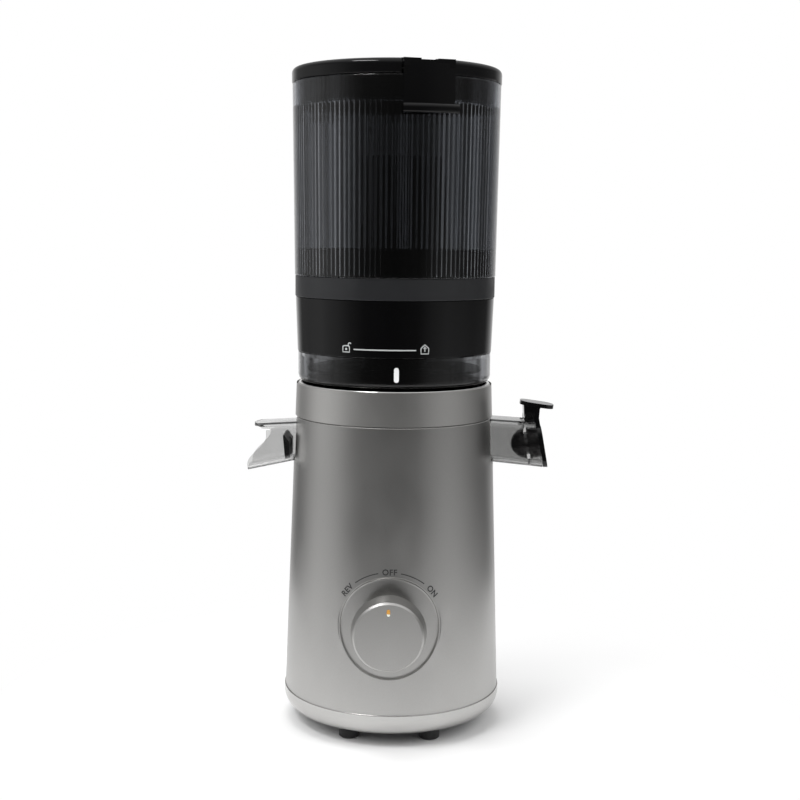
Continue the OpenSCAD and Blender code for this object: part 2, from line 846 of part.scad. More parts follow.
// A spur gear's outline with a tooth centred on +X; flank points lie on the involute
module gear_outline(teeth, pitch) {
  tip = pitch + addendum;
  root = pitch - dedendum;
  start = max(root + 0.05, base_r(pitch));
  steps = 3;
  polygon([
    for (i = [0:teeth - 1])
      let (mid = i * 360 / teeth)
        each concat(
          [let (a = mid - tooth_half(pitch, teeth, start)) [root * cos(a), root * sin(a)]],
          [for (k = [0:steps])
            let (r = start + (tip - start) * k / steps, a = mid - tooth_half(pitch, teeth, r))
              [r * cos(a), r * sin(a)]],
          [for (k = [steps:-1:0])
            let (r = start + (tip - start) * k / steps, a = mid + tooth_half(pitch, teeth, r))
              [r * cos(a), r * sin(a)]],
          [let (a = mid + tooth_half(pitch, teeth, start)) [root * cos(a), root * sin(a)]]
        ),
  ]);
}

// Pitch radii: both stages share one distance between their shafts
motor_pitch = gear_distance * motor_pinion_teeth / (motor_pinion_teeth + lay_gear_teeth);
lay_gear_pitch = gear_distance - motor_pitch;
gearbox_r = gear_distance + lay_gear_pitch + addendum + case_gap + gearbox_wall;
lay_pinion_pitch = gear_distance * lay_pinion_teeth / (lay_pinion_teeth + output_teeth);
output_pitch = gear_distance - lay_pinion_pitch;

module motor_pinion() {
  color(steel)
    translate([0, 0, first_z])
      difference() {
        rotate([0, 0, lay_turn])
          linear_extrude(height = pinion_face) gear_outline(motor_pinion_teeth, motor_pitch);
        translate([0, 0, -nudge])
          cylinder(h = pinion_face + 2 * nudge, d = pinion_shaft_d + fit_gap);
      }
}

module lay_gear() {
  facing = lay_turn + 180;
  pinion_z = first_z + first_face;
  pinion_h = output_z + output_face + 1 - pinion_z;
  color(nylon)
    rotate([0, 0, lay_turn])
      translate([gear_distance, 0, 0])
        rotate([0, 0, -lay_turn])
          difference() {
            union() {
              translate([0, 0, first_z])
                rotate([0, 0, facing + 180 / lay_gear_teeth])
                  linear_extrude(height = first_face) gear_outline(lay_gear_teeth, lay_gear_pitch);
              translate([0, 0, pinion_z - nudge])
                rotate([0, 0, facing + 180 / lay_pinion_teeth])
                  linear_extrude(height = pinion_h)
                    gear_outline(lay_pinion_teeth, lay_pinion_pitch);
            }
            translate([0, 0, first_z - nudge])
              cylinder(h = first_face + pinion_h + 2 * nudge, r = lay_pin_d / 2 + run_gap);
            for (a = [0:60:300])
              rotate([0, 0, a])
                translate([lay_gear_pitch * 0.6, 0, first_z - nudge])
                  cylinder(h = first_face + 2 * nudge, r = lay_gear_pitch * 0.17);
          }
}

module lay_pin() {
  color(steel)
    rotate([0, 0, lay_turn])
      translate([gear_distance, 0, gearbox_z + 1]) cylinder(h = cover_z + 1 - gearbox_z - 1, d = lay_pin_d);
}

module output_gear() {
  web_cut = output_face / 3;
  color(nylon)
    translate([0, 0, output_z])
      difference() {
        rotate([0, 0, lay_turn])
          linear_extrude(height = output_face) gear_outline(output_teeth, output_pitch);
        translate([0, 0, -nudge])
          cylinder(h = output_face + 2 * nudge, r = drive_d / 2 + fit_gap / 2);
        for (side = [0, 1])
          translate([0, 0, side * (output_face - web_cut) - (1 - side) * nudge])
            ring(output_pitch - 5, drive_d / 2 + 5, 0, web_cut + nudge);
      }
}

module gearbox_case() {
  inner = gearbox_r - gearbox_wall;
  color(band_grey)
    difference() {
      union() {
        difference() {
          translate([0, 0, gearbox_z]) cylinder(h = gearbox_h, r = gearbox_r);
          translate([0, 0, gearbox_z + gearbox_wall])
            linear_extrude(height = gearbox_h)
              difference() {
                circle(r = inner);
                cover_screw_places() circle(r = cover_boss_r);
              }
        }
        rotate([0, 0, lay_turn])
          translate([gear_distance, 0, gearbox_z + gearbox_wall / 2])
            cylinder(h = gearbox_wall / 2 + 2, r = lay_pin_d);
      }
      translate([0, 0, gearbox_z - nudge])
        cylinder(h = gearbox_wall + 2 * nudge, r = bearing_r + fit_gap / 2);
      rotate([0, 0, lay_turn])
        translate([gear_distance, 0, gearbox_z + 1])
          cylinder(h = gearbox_h, r = lay_pin_d / 2 + fit_gap / 2);
      cover_screw_places()
        translate([0, 0, cover_z - post_screw_len])
          cylinder(h = post_screw_len + nudge, r = fastener_r + fit_gap / 2);
    }
}
module cover_screw_places() {
  for (a = [0, 180, 225, 270, 315])
    rotate([0, 0, a])
      translate([gearbox_r - gearbox_wall - cover_boss_r / 2, 0, 0]) children();
}

module gearbox_cover() {
  color(band_grey)
    difference() {
      union() {
        translate([0, 0, cover_z]) cylinder(h = cover_t, r = gearbox_r);
        translate([0, 0, cover_z + cover_t - output_bearing_t - 2])
          cylinder(h = output_bearing_t + 2 - cover_t + nudge, r = output_bearing_r + 3);
        rotate([0, 0, lay_turn])
          translate([gear_distance, 0, cover_z - 2]) cylinder(h = 2 + nudge, r = lay_pin_d);
      }
      translate([0, 0, cover_z + cover_t - output_bearing_t])
        cylinder(h = output_bearing_t + nudge, r = output_bearing_r + fit_gap / 2);
      translate([0, 0, cover_z - past - output_bearing_t])
        cylinder(h = 2 * past + output_bearing_t, r = drive_d / 2 + 2);
      rotate([0, 0, lay_turn])
        translate([gear_distance, 0, cover_z - 2 - nudge])
          cylinder(h = 3 + 2 * nudge, r = lay_pin_d / 2 + fit_gap / 2);
      cover_screw_places()
        translate([0, 0, cover_z - nudge])
          cylinder(h = cover_t + 2 * nudge, r = fastener_r + fit_gap);
    }
}

module cover_screws() {
  color(steel)
    cover_screw_places() {
      translate([0, 0, cover_z + cover_t]) cylinder(h = fastener_head_h, r = fastener_head_r - 0.6);
      translate([0, 0, cover_z - post_screw_len + 2])
        cylinder(h = cover_t + post_screw_len - 2 + nudge, r = fastener_r);
    }
}

// ---------------------------------------------------------------- deck and electronics

deck_rim = 2.6;
deck_r = shell_inner_r(bowl_z + deck_rim) - free_gap;
deck_t = 3;
seal_r = drive_d / 2 + 5;

module deck() {
  color(rubber_black)
    difference() {
      union() {
        translate([0, 0, bowl_z - deck_t]) cylinder(h = deck_t, r = deck_r);
        ring(deck_r, deck_r - 2, deck_z, deck_h + deck_rim);
        translate([0, 0, deck_z]) cylinder(h = deck_h - nudge, r = seal_r + 5);
        for (a = [30, 150, 210, 330])
          rotate([0, 0, a])
            translate([gearbox_r * 0.7, 0, deck_z]) cylinder(h = deck_h - nudge, r = 5);
      }
      translate([0, 0, deck_z - nudge]) cylinder(h = deck_h + 2 * nudge, r = seal_r + fit_gap / 2);
    }
}

module deck_seal() {
  color(rubber_black)
    ring(seal_r, drive_d / 2 + run_gap, deck_z + 1, deck_h - 1);
}

// The board stands on edge beside the motor, on two legs inside the base plate's rim
board_turn = 90;
board_w = 44;
board_h = 52;
board_t = 1.6;
board_leg_w = 6;
board_leg_in = 5;       // from the board's edge to the middle of a leg
board_leg_lap = 10;     // how far a leg runs up behind the board
board_screw_up = 5;
board_z = plate_top + plate_rim_h + plate_t;
board_leg_x = board_w / 2 - board_leg_in;
board_y = sqrt(pow(plate_r - plate_rim_t - free_gap, 2) - pow(board_leg_x + board_leg_w / 2, 2));

module control_board() {
  relay_w = 15;
  relay_h = 12;
  part_deep = 7;
  relay_in = 4;
  relay_up = 30;
  choke_r = 6;
  choke_in = 12;
  choke_up = 34;
  color(board_green)
    rotate([0, 0, board_turn]) {
      translate([-board_w / 2, board_y, board_z]) cube([board_w, board_t, board_h]);
      for (x = [-1, 1])
        translate([x * board_leg_x - board_leg_w / 2, board_y - board_t, plate_top])
          cube([board_leg_w, board_t, board_z - plate_top + board_leg_lap]);
      translate([-board_w / 2 + relay_in, board_y + board_t - nudge, board_z + relay_up])
        cube([relay_w, part_deep, relay_h]);
      translate([board_w / 2 - choke_in, board_y + board_t - nudge, board_z + choke_up])
        rotate([-90, 0, 0]) cylinder(h = part_deep, r = choke_r);
    }
}

module board_screws() {
  color(steel)
    rotate([0, 0, board_turn])
      for (x = [-1, 1])
        translate([x * board_leg_x, board_y + board_t, board_z + board_screw_up])
          rotate([-90, 0, 0]) cylinder(h = fastener_head_h / 2, r = fastener_head_r - 1);
}

// ---------------------------------------------------------------- bowl

bowl_inner = bowl_r - bowl_wall;
floor_t = 3;
hub_out = drive_d / 2 + 4;
hub_in = drive_d / 2 + 1.3;
bowl_hub_h = 16;
flare_r = bowl_band_r - bowl_r;
flare_z = collar_top + 0.5;
port_w = spout_w - 2 * spout_wall - 2;
port_edge = 1.2;
spout_low = seam_z - spout_deep;
port_z = spout_low + spout_wall + port_edge;
port_h = seam_z - max(juice_roof_deep, pulp_roof_deep) - spout_wall - port_edge / 2 - port_z;
lug_z = shoulder_z + 16;
lug_out = bowl_rim_r + 2.3;
lug_places = [for (i = [0:lug_count - 1]) i * 360 / lug_count - 30];

module bowl_profile() {
  difference() {
    union() {
      translate([hub_in, bowl_z]) square([bowl_r - hub_in, flare_z + bowl_wall / 2 - bowl_z]);
      translate([bowl_inner - bowl_wall, flare_z]) square([bowl_band_r - bowl_inner + bowl_wall, shoulder_z - flare_z]);
      translate([bowl_inner, shoulder_z - nudge]) square([bowl_rim_r - bowl_inner, bowl_rim_h + nudge]);
      translate([bowl_r - nudge, collar_z + 1.4]) square([collar_inner_r(collar_z + 1.4) - fit_gap - bowl_r, 3]);
    }
    // inside, from the floor up to the rim
    translate([hub_out, bowl_z + floor_t]) square([bowl_inner - hub_out, flare_z + flare_r - bowl_z - floor_t + nudge]);
    translate([0, bowl_z + floor_t + bowl_hub_h]) square([hub_out + nudge, rim_top]);
    translate([bowl_inner - nudge, flare_z + flare_r])
      square([bowl_band_r - bowl_wall - bowl_inner + nudge, shoulder_z - bowl_wall - flare_z - flare_r]);
    translate([bowl_inner - bowl_wall - nudge, flare_z - nudge])
      square([bowl_wall + nudge, shoulder_z - flare_z + 2 * nudge]);
    translate([bowl_inner - bowl_wall, shoulder_z - bowl_wall - nudge])
      square([bowl_rim_r - bowl_wall - bowl_inner + bowl_wall, bowl_rim_h + bowl_wall + past]);
    // the flare's round, outside and inside
    corner_bit(bowl_band_r, flare_z, flare_r, 1, -1);
    translate([bowl_r, flare_z + flare_r])
      intersection() {
        circle(r = flare_r - bowl_wall);
        translate([-nudge, -flare_r]) square([flare_r, flare_r + nudge]);
      }
    translate([bowl_inner - nudge, flare_z + bowl_wall]) square([bowl_wall + 2 * nudge, flare_r]);
    corner_bit(bowl_r, bowl_z, 4, 1, -1);
  }
}

// The part of the bowl's profile that lies in its floor and the hub in its middle
module floor_zone() {
  translate([0, bowl_z - past]) square([bowl_r + past, floor_t + past]);
  square([hub_out + nudge, rim_top]);
}

module bowl_floor() {
  color(clear_grey)
    rotate_extrude()
      intersection() {
        bowl_profile();
        floor_zone();
      }
}

// The bowl's wall, its clear band and its rim stand on the floor
module bowl() {
  color(clear_grey)
    difference() {
      union() {
        rotate_extrude()
          difference() {
            bowl_profile();
            floor_zone();
          }
        for (a = lug_places)
          revolve_arc(a - lug_angle / 2, lug_angle)
            translate([bowl_rim_r - bowl_wall / 2, lug_z]) square([lug_out - bowl_rim_r + bowl_wall / 2, lug_h]);
      }
      for (side = [0, 180])
        rotate([0, 0, side])
          translate([bowl_inner - past, -port_w / 2, port_z]) cube([bowl_wall + 2 * past, port_w, port_h]);
    }
}

module bowl_seal() {
  color(silicone)
    ring(hub_in - fit_gap / 2, drive_d / 2 + run_gap, bowl_z + floor_t + bowl_hub_h - 5, 4);
}

function collar_outer_r(z) = shell_top_r + (z - seam_z) * (collar_top_r - shell_top_r) / collar_h;
function collar_inner_r(z) = collar_outer_r(z) - collar_wall;

// The silver collar lifts off the stand with the bowl; its tongue drops inside the shell
module silver_collar() {
  lip = min(3.6, collar_top_r - bowl_r - free_gap);
  tongue = 4;
  tongue_r = shell_inner_r(seam_z) - free_gap;
  color(silver)
    difference() {
      rotate_extrude()
        difference() {
          union() {
            polygon([
              [collar_inner_r(collar_z), collar_z],
              [collar_outer_r(collar_z), collar_z],
              [collar_outer_r(collar_top), collar_top],
              [collar_inner_r(collar_top), collar_top],
            ]);
            translate([collar_top_r - lip, collar_top - collar_edge_r]) square([lip, collar_edge_r]);
            translate([tongue_r - 1.6, collar_z - tongue]) square([1.6, tongue + 1.4]);
            translate([tongue_r - 1.6, collar_z]) square([collar_wall + 2, 1.4]);
          }
          corner_bit(collar_outer_r(collar_top), collar_top, collar_edge_r, 1, 1);
        }
      for (side = [0, 180])
        rotate([0, 0, side])
          translate([shell_top_r / 2, -notch_w / 2, collar_z - tongue - nudge])
            cube([shell_top_r / 2 - 0.5 - collar_wall, notch_w, tongue]);
    }
}

strainer_z = bowl_z + floor_t;
strainer_top = collar_top + 11;

module strainer() {
  outer = strainer_r + strainer_wall;
  flange_r = bowl_rim_r - bowl_wall - free_gap;
  slot_z = strainer_z + 8;
  slot_top = strainer_top - 12;
  color(rubber_black)
    difference() {
      union() {
        ring(outer, strainer_r, strainer_z, strainer_top - strainer_z);
        ring(outer, hub_out + free_gap, strainer_z, 2);
        ring(flange_r, strainer_r, strainer_top - 2, 2);
      }
      for (i = [0:strainer_slots - 1])
        rotate([0, 0, (i + 0.5) * 360 / strainer_slots])
          translate([strainer_r - 1, -slot_w / 2, slot_z])
            cube([strainer_wall + 2, slot_w, slot_top - slot_z]);
    }
}

// ---------------------------------------------------------------- spouts

spout_root = bowl_r + fit_gap;
juice_top_x = bowl_r + juice_reach;
juice_bottom_x = juice_top_x + mouth_lean;
pulp_bottom_x = bowl_r + pulp_reach;
visor_x = bowl_r + visor_reach;
cap_pivot_x = juice_top_x - cap_pivot_in;

// Heights of a spout's roof and floor at distance x from the axis
function roof_z(deep, x) = seam_z - deep - (x - spout_root) * tan(roof_slope);
function floor_z(slope, x) = spout_low - (x - spout_root) * tan(slope);
function juice_roof(x) = roof_z(juice_roof_deep, x);
function juice_floor(x) = floor_z(juice_floor_slope, x);
function pulp_roof(x) = roof_z(pulp_roof_deep, x);
function pulp_floor(x) = floor_z(pulp_floor_slope, x);

// One rounded slice across a spout, at distance x from the axis
module spout_slice(x, deep, slope, inset) {
  slice_t = 0.2;
  high = roof_z(deep, x) - inset;
  low = floor_z(slope, x) + inset;
  translate([x, 0, (low + high) / 2])
    rotate([90, 0, 90])
      linear_extrude(height = slice_t)
        round_rect(spout_w - 2 * inset, high - low, spout_r - inset, $fn = 32);
}

// The sleeve of a spout, from inside the bowl's wall to its reach
module spout_sleeve(reach, deep, slope, inset, overrun) {
  hull() {
    spout_slice(spout_root - past - overrun, deep, slope, inset);
    spout_slice(reach + overrun, deep, slope, inset);
  }
}

module spout_walls(reach, deep, slope) {
  difference() {
    spout_sleeve(reach, deep, slope, 0, 0);
    spout_sleeve(reach, deep, slope, spout_wall, 1);
    translate([0, 0, spout_low - spout_root]) cylinder(h = 2 * spout_root, r = spout_root);
  }
}

// Extrudes a side view, drawn as x outward and y upward, across the whole spout
module across_spout() {
  translate([0, spout_w, 0]) rotate([90, 0, 0]) linear_extrude(height = 2 * spout_w) children();
}

cap_pivot_z = juice_roof(cap_pivot_x) + cap_pivot_up;
ear_r = 4.4;

// The mouth slants, and the cap's flap and plug follow it
mouth_top = juice_roof(juice_top_x);
mouth_low = juice_floor(juice_bottom_x);
mouth_angle = atan((juice_bottom_x - juice_top_x) / (mouth_top - mouth_low));
function mouth_x(z) = juice_top_x + (mouth_top - z) * tan(mouth_angle);

flap_low = mouth_low;
flap_high = mouth_top - 2.6;
plug_z = (mouth_top + mouth_low) / 2 + 1.2;
plug_r = plug_d / 2;
plug_dome = plug_len * 0.62;
plug_lip_t = 2;
seat_t = 2.2;

// Puts a shape that points along +Z on the flap's inner face, pointing into the spout
module from_flap() {
  translate([mouth_x(plug_z) + free_gap, 0, plug_z]) rotate([0, -90 - mouth_angle, 0]) children();
}

module juice_spout() {
  seat_in = plug_len - plug_dome + free_gap;
  color(clear_grey)
    difference() {
      union() {
        spout_walls(juice_bottom_x, juice_roof_deep, juice_floor_slope);
        // the wall with the round seat that the plug's lip closes
        intersection() {
          from_flap() translate([-spout_w, -spout_w / 2, seat_in]) cube([2 * spout_w, spout_w, seat_t]);
          spout_sleeve(juice_bottom_x, juice_roof_deep, juice_floor_slope, spout_wall / 2, 0);
        }
        for (side = [-1, 1])
          translate([0, side * (ear_gap + ear_t) / 2, 0])
            rotate([90, 0, 0])
              translate([0, 0, -ear_t / 2])
                linear_extrude(height = ear_t) {
                  translate([cap_pivot_x, cap_pivot_z]) circle(r = ear_r);
                  translate([cap_pivot_x - ear_r, mouth_top - spout_wall / 2])
                    square([2 * ear_r - 0.9, cap_pivot_z - mouth_top + spout_wall / 2]);
                }
      }
      from_flap() cylinder(h = seat_in + seat_t + 1, r = plug_r + free_gap);
      // the slanted mouth
      across_spout()
        polygon([
          [mouth_x(mouth_top + past), mouth_top + past],
          [juice_bottom_x + 2 * past, mouth_top + past],
          [juice_bottom_x + 2 * past, mouth_low - past],
          [mouth_x(mouth_low - past), mouth_low - past],
        ]);
      // the slot that the cap's arm swings in
      translate([cap_pivot_x - ear_r - 2, -ear_gap / 2, mouth_top - spout_wall - 1])
        cube([juice_bottom_x, ear_gap, past * 2]);
      translate([cap_pivot_x, 0, cap_pivot_z])
        rotate([90, 0, 0])
          cylinder(h = 2 * spout_w, d = cap_pin_d + fit_gap, center = true);
    }
}

module cap_pin() {
  length = ear_gap + 2 * ear_t;
  color(steel)
    translate([cap_pivot_x, 0, cap_pivot_z])
      rotate([90, 0, 0]) cylinder(h = length, d = cap_pin_d, center = true);
}

module pulp_spout() {
  brow_x = visor_x - visor_over;
  visor_r = spout_w / 2;
  slot = [2.6, 1.4];
  brow = pulp_roof(brow_x);
  bend_top = brow - visor_h - slot.y - 4;
  bend_low = pulp_floor(pulp_bottom_x) + 5;
  steps = 12;
  color(clear_grey)
    rotate([0, 0, 180])
      difference() {
        spout_walls(pulp_bottom_x, pulp_roof_deep, pulp_floor_slope);
        // the S-shaped mouth under the visor, with a short slot at its upper corners
        across_spout()
          polygon(concat(
            [
              [visor_x, brow + past],
              [pulp_bottom_x + 2 * past, brow + past],
              [pulp_bottom_x + 2 * past, bend_low - 4 * past],
              [pulp_bottom_x, bend_low - 4 * past],
            ],
            [for (i = [0:steps])
              let (t = i / steps, bulge = (1 + cos(180 * t)) / 2)
                [brow_x + (pulp_bottom_x - brow_x) * bulge, bend_low + (bend_top - bend_low) * t]],
            [
              [brow_x, brow - visor_h - slot.y],
              [brow_x - slot.x, brow - visor_h - slot.y],
              [brow_x - slot.x, brow - visor_h],
              [visor_x, brow - visor_h - visor_over * tan(roof_slope)],
            ]
          ));
        // the visor's round front, seen from above
        translate([0, 0, brow - visor_h - slot.y])
          difference() {
            translate([brow_x - slot.x, -spout_w, 0]) cube([visor_r + past, 2 * spout_w, spout_w]);
            translate([visor_x - visor_r, 0, -nudge]) cylinder(h = spout_w + 2 * nudge, r = visor_r);
          }
      }
}

// The flap leans outward and thins towards its edge; the pulp leaves through its arch
module pulp_flap() {
  foot_x = spout_root + 11;
  foot_t = 3.2;
  lean = 4.6;
  foot_z = pulp_floor(foot_x) + spout_wall + free_gap;
  edge_z = foot_z + 16.6;
  color(rubber_black)
    rotate([0, 0, 180])
      difference() {
        intersection() {
          across_spout()
            polygon([
              [foot_x, foot_z],
              [foot_x + foot_t, foot_z],
              [foot_x + lean, edge_z],
              [foot_x + lean - 1, edge_z],
              [foot_x, edge_z - lean],
            ]);
          spout_sleeve(pulp_bottom_x, pulp_roof_deep, pulp_floor_slope, spout_wall + free_gap, 0);
        }
        translate([foot_x - past, 0, foot_z + 8.5]) sideways() cylinder(h = 4 * past, r = 5.5, $fn = 32);
      }
}

// ---------------------------------------------------------------- juice cap

module juice_cap() {
  thumb_z = cap_pivot_z + 9.6;
  hub = 4.2;
  arm_w = ear_gap - 2 * free_gap - 0.6;
  color(gloss_black)
    difference() {
      union() {
        // thumb plate, with a round outline and a slope down and outward
        translate([cap_pivot_x - 7.2, 0, thumb_z])
          rotate([0, thumb_slope, 0])
            linear_extrude(height = thumb_t)
              translate([thumb_len / 2, 0]) round_rect(thumb_len, thumb_w, thumb_w / 2 - 2);
        // arm: neck, hub and the upper end of the flap
        translate([0, arm_w / 2, 0])
          rotate([90, 0, 0])
            linear_extrude(height = arm_w) {
              translate([cap_pivot_x, cap_pivot_z]) circle(r = hub);
              polygon([
                [cap_pivot_x - hub, cap_pivot_z],
                [cap_pivot_x - hub - 0.6, thumb_z + 1.2],
                [cap_pivot_x + hub + 5, thumb_z],
                [cap_pivot_x + hub + 2.6, thumb_z - 3],
                [mouth_x(cap_pivot_z) + free_gap + flap_t, cap_pivot_z],
                [mouth_x(flap_high - 3) + free_gap + flap_t, flap_high - 3],
                [mouth_x(flap_high - 3) + free_gap, flap_high - 3],
                [mouth_x(flap_high) + free_gap, flap_high],
                [cap_pivot_x + 2, cap_pivot_z - hub + 0.8],
              ]);
            }
        // flap over the mouth
        intersection() {
          across_spout()
            polygon([
              [mouth_x(flap_high) + free_gap, flap_high],
              [mouth_x(flap_high) + free_gap + flap_t, flap_high],
              [mouth_x(flap_low) + free_gap + flap_t, flap_low],
              [mouth_x(flap_low) + free_gap, flap_low],
            ]);
          translate([juice_top_x - past, 0, (flap_low + flap_high) / 2])
            rotate([90, 0, 90])
              linear_extrude(height = 4 * past) round_rect(spout_w, flap_high - flap_low, spout_r);
        }
      }
      translate([cap_pivot_x, 0, cap_pivot_z])
        rotate([90, 0, 0]) cylinder(h = 2 * spout_w, r = cap_pin_d / 2 + run_gap, center = true);
    }
}

// The plug stands square on the flap: a round base, a sealing lip and a dome
module cap_plug() {
  lip_z = plug_len - plug_dome - plug_lip_t;
  color(silicone)
    from_flap()
      rotate_extrude()
        polygon(concat(
          [[0, 0], [plug_r, 0], [plug_r, lip_z], [plug_r + plug_lip, lip_z + 0.4],
          [plug_r + plug_lip, lip_z + plug_lip_t - 0.6], [plug_r, lip_z + plug_lip_t]],
          arc_points(0, plug_len - plug_dome, plug_r - 0.2, plug_dome, 0, 90, 9)
        ));
}

// ---------------------------------------------------------------- drive and screw

socket_r = drive_d / 2 + 4;
socket_z = strainer_z + bowl_hub_h + 1.5;
socket_h = 22;
hex_r = drive_hex / 2 / cos(30);
screw_z = strainer_z + 3;
screw_top = strainer_top - 1;

module drive_shaft() {
  color(steel) {
    translate([0, 0, output_z - 0.6]) cylinder(h = socket_z - output_z + 0.6, d = drive_d);
    translate([0, 0, socket_z - nudge]) cylinder(h = socket_h - 3, r = hex_r, $fn = 6);
  }
}

module drive_socket() {
  color(bright)
    translate([0, 0, socket_z])
      difference() {
        cylinder(h = socket_h, r = socket_r);
        translate([0, 0, -nudge]) cylinder(h = socket_h - 2, r = hex_r + fit_gap, $fn = 6);
      }
}

// The core and its flights, seen along the axis: each flight is a ridge that narrows towards its edge
module screw_outline() {
  core_steps = 4;
  polygon([
    for (s = [0:screw_starts - 1])
      let (mid = s * 360 / screw_starts, span = 360 / screw_starts - flight_root)
        each concat(
          [for (p = [[-flight_root / 2, 0], [-flight_tip, 0.7], [-flight_tip / 2, 1],
               [0, 1], [flight_tip / 2, 1], [flight_tip, 0.7], [flight_root / 2, 0]])
            let (a = mid + p.x, r = screw_core_r + (screw_r - screw_core_r) * p.y) [r * cos(a), r * sin(a)]],
          [for (k = [1:core_steps * 2 - 1])
            let (a = mid + flight_root / 2 + span * k / (core_steps * 2))
              [screw_core_r * cos(a), screw_core_r * sin(a)]]
        ),
  ]);
}

module auger_screw() {
  color(rubber_black)
    difference() {
      translate([0, 0, screw_z])
        linear_extrude(height = screw_top - screw_z, twist = -screw_turn, slices = 44, $fn = 24) screw_outline();
      translate([0, 0, screw_z - nudge])
        cylinder(h = socket_z - screw_z, r = hub_out + 1.5);
      translate([0, 0, socket_z - 2 * nudge])
        cylinder(h = socket_h + fit_gap, r = socket_r + fit_gap / 2);
    }
}

throat_z = skirt_top - 5;
throat_bottom = rim_top - 6;

// The neck rises from the screw through the throat to a shoulder, with the domed hub and the wing on it
module cutting_wing() {
  shoulder_h = 10;
  hub_top = throat_z + hub_rise;
  blade_h = wing_rise - shoulder_h;
  color(gloss_black) {
    rotate_extrude()
      polygon([
        [0, screw_top],
        [screw_core_r, screw_top],
        [neck_r, throat_bottom - 6],
        [neck_r, throat_z],
        [neck_r - 3, throat_z + shoulder_h],
        [hub_r, throat_z + shoulder_h + 3],
        [hub_r, hub_top - hub_r],
        [0, hub_top - hub_r],
      ]);
    translate([0, 0, hub_top - hub_r]) sphere(r = hub_r);
    // the wing: a curved blade that leans and narrows as it rises
    translate([0, 0, throat_z + shoulder_h / 2])
      linear_extrude(height = blade_h + shoulder_h / 2, twist = 70, scale = 0.42, slices = 14, $fn = 16)
        wing_section();
  }
}

module wing_section() {
  bend_r = wing_reach * 0.9;
  polygon(concat(
    arc_points(0, bend_r / 2, wing_reach - 4, bend_r, -70, 40, 8),
    arc_points(0, bend_r / 2, wing_reach - 4 - wing_t, bend_r - wing_t, 40, -70, 8)
  ));
}

// ---------------------------------------------------------------- hopper

web_z = rim_top + 3;
web_t = 2.5;
groove_gap = 0.5;

module hopper_skirt() {
  inner = bowl_rim_r + groove_gap;
  edge = 0.5;
  groove_r = lug_out + 0.4;
  color(gloss_black)
    difference() {
      rotate_extrude()
        polygon([
          [inner, skirt_z],
          [skirt_r(skirt_z) - edge, skirt_z],
          [skirt_r(skirt_z + edge), skirt_z + edge],
          [skirt_r(skirt_top - edge), skirt_top - edge],
          [skirt_top_r - edge, skirt_top],
          [floor_outer_r + fit_gap, skirt_top],
          [floor_outer_r + fit_gap, web_z + web_t],
          [web_in, web_z + web_t],
          [web_in, web_z],
          [inner, web_z],
        ]);
      for (a = lug_places) {
        revolve_arc(a - open_turn - lug_angle / 2 - 0.7, open_turn + hopper_turn + lug_angle + 1.4)
          translate([inner - 1, lug_z - groove_gap]) square([groove_r - inner + 1, lug_h + 2 * groove_gap]);
        revolve_arc(a - open_turn - lug_angle / 2 - 0.7, lug_angle + 1.4)
          translate([inner - 1, skirt_z - 1])
            square([groove_r - inner + 1, lug_z + lug_h + groove_gap - skirt_z + 1]);
      }
    }
}

module hopper_seal() {
  color(silicone)
    ring(bowl_rim_r, bowl_rim_r - seal_w, rim_top + free_gap, web_z - rim_top - free_gap);
}

floor_outer_r = tube_bottom_r - tube_wall - 1.4;
floor_rim_z = throat_z + floor_rise;
web_in = min(bowl_rim_r - seal_w, floor_outer_r - floor_wall - 3);

// The floor of the hopper: an upright wall inside the band, and a slope down to the throat
module hopper_floor() {
  slope_top = floor_rim_z - 2;
  color(gloss_black)
    rotate_extrude()
      polygon([
        [throat_r, throat_bottom],
        [throat_r + floor_wall, throat_bottom],
        [throat_r + floor_wall, throat_z - 1],
        [floor_outer_r - floor_wall, slope_top - 3],
        [floor_outer_r - floor_wall, web_z + web_t],
        [floor_outer_r, web_z + web_t],
        [floor_outer_r, floor_rim_z],
        [floor_outer_r - floor_wall, floor_rim_z],
        [throat_r, throat_z + 2],
      ]);
}

module hopper_band() {
  edge = 0.4;
  inner = floor_outer_r + fit_gap;
  color(band_grey)
    rotate_extrude()
      polygon([
        [inner, skirt_top],
        [hopper_band_r - edge, skirt_top],
        [hopper_band_r, skirt_top + edge],
        [hopper_band_r, tube_z - edge],
        [hopper_band_r - edge, tube_z],
        [inner, tube_z],
      ]);
}

module hopper_tube() {
  color(smoke)
    rotate_extrude()
      polygon([
        [tube_bottom_r - tube_wall, tube_z],
        [tube_bottom_r, tube_z],
        [tube_top_r, tube_top],
        [tube_top_r - tube_wall, tube_top],
      ]);
}

hinge_z = lid_z + 3.6;
knuckle_r = 3.6;
bracket_ear_t = 4.5;
bracket_w = knuckle_w + 2 * (bracket_ear_t + free_gap);

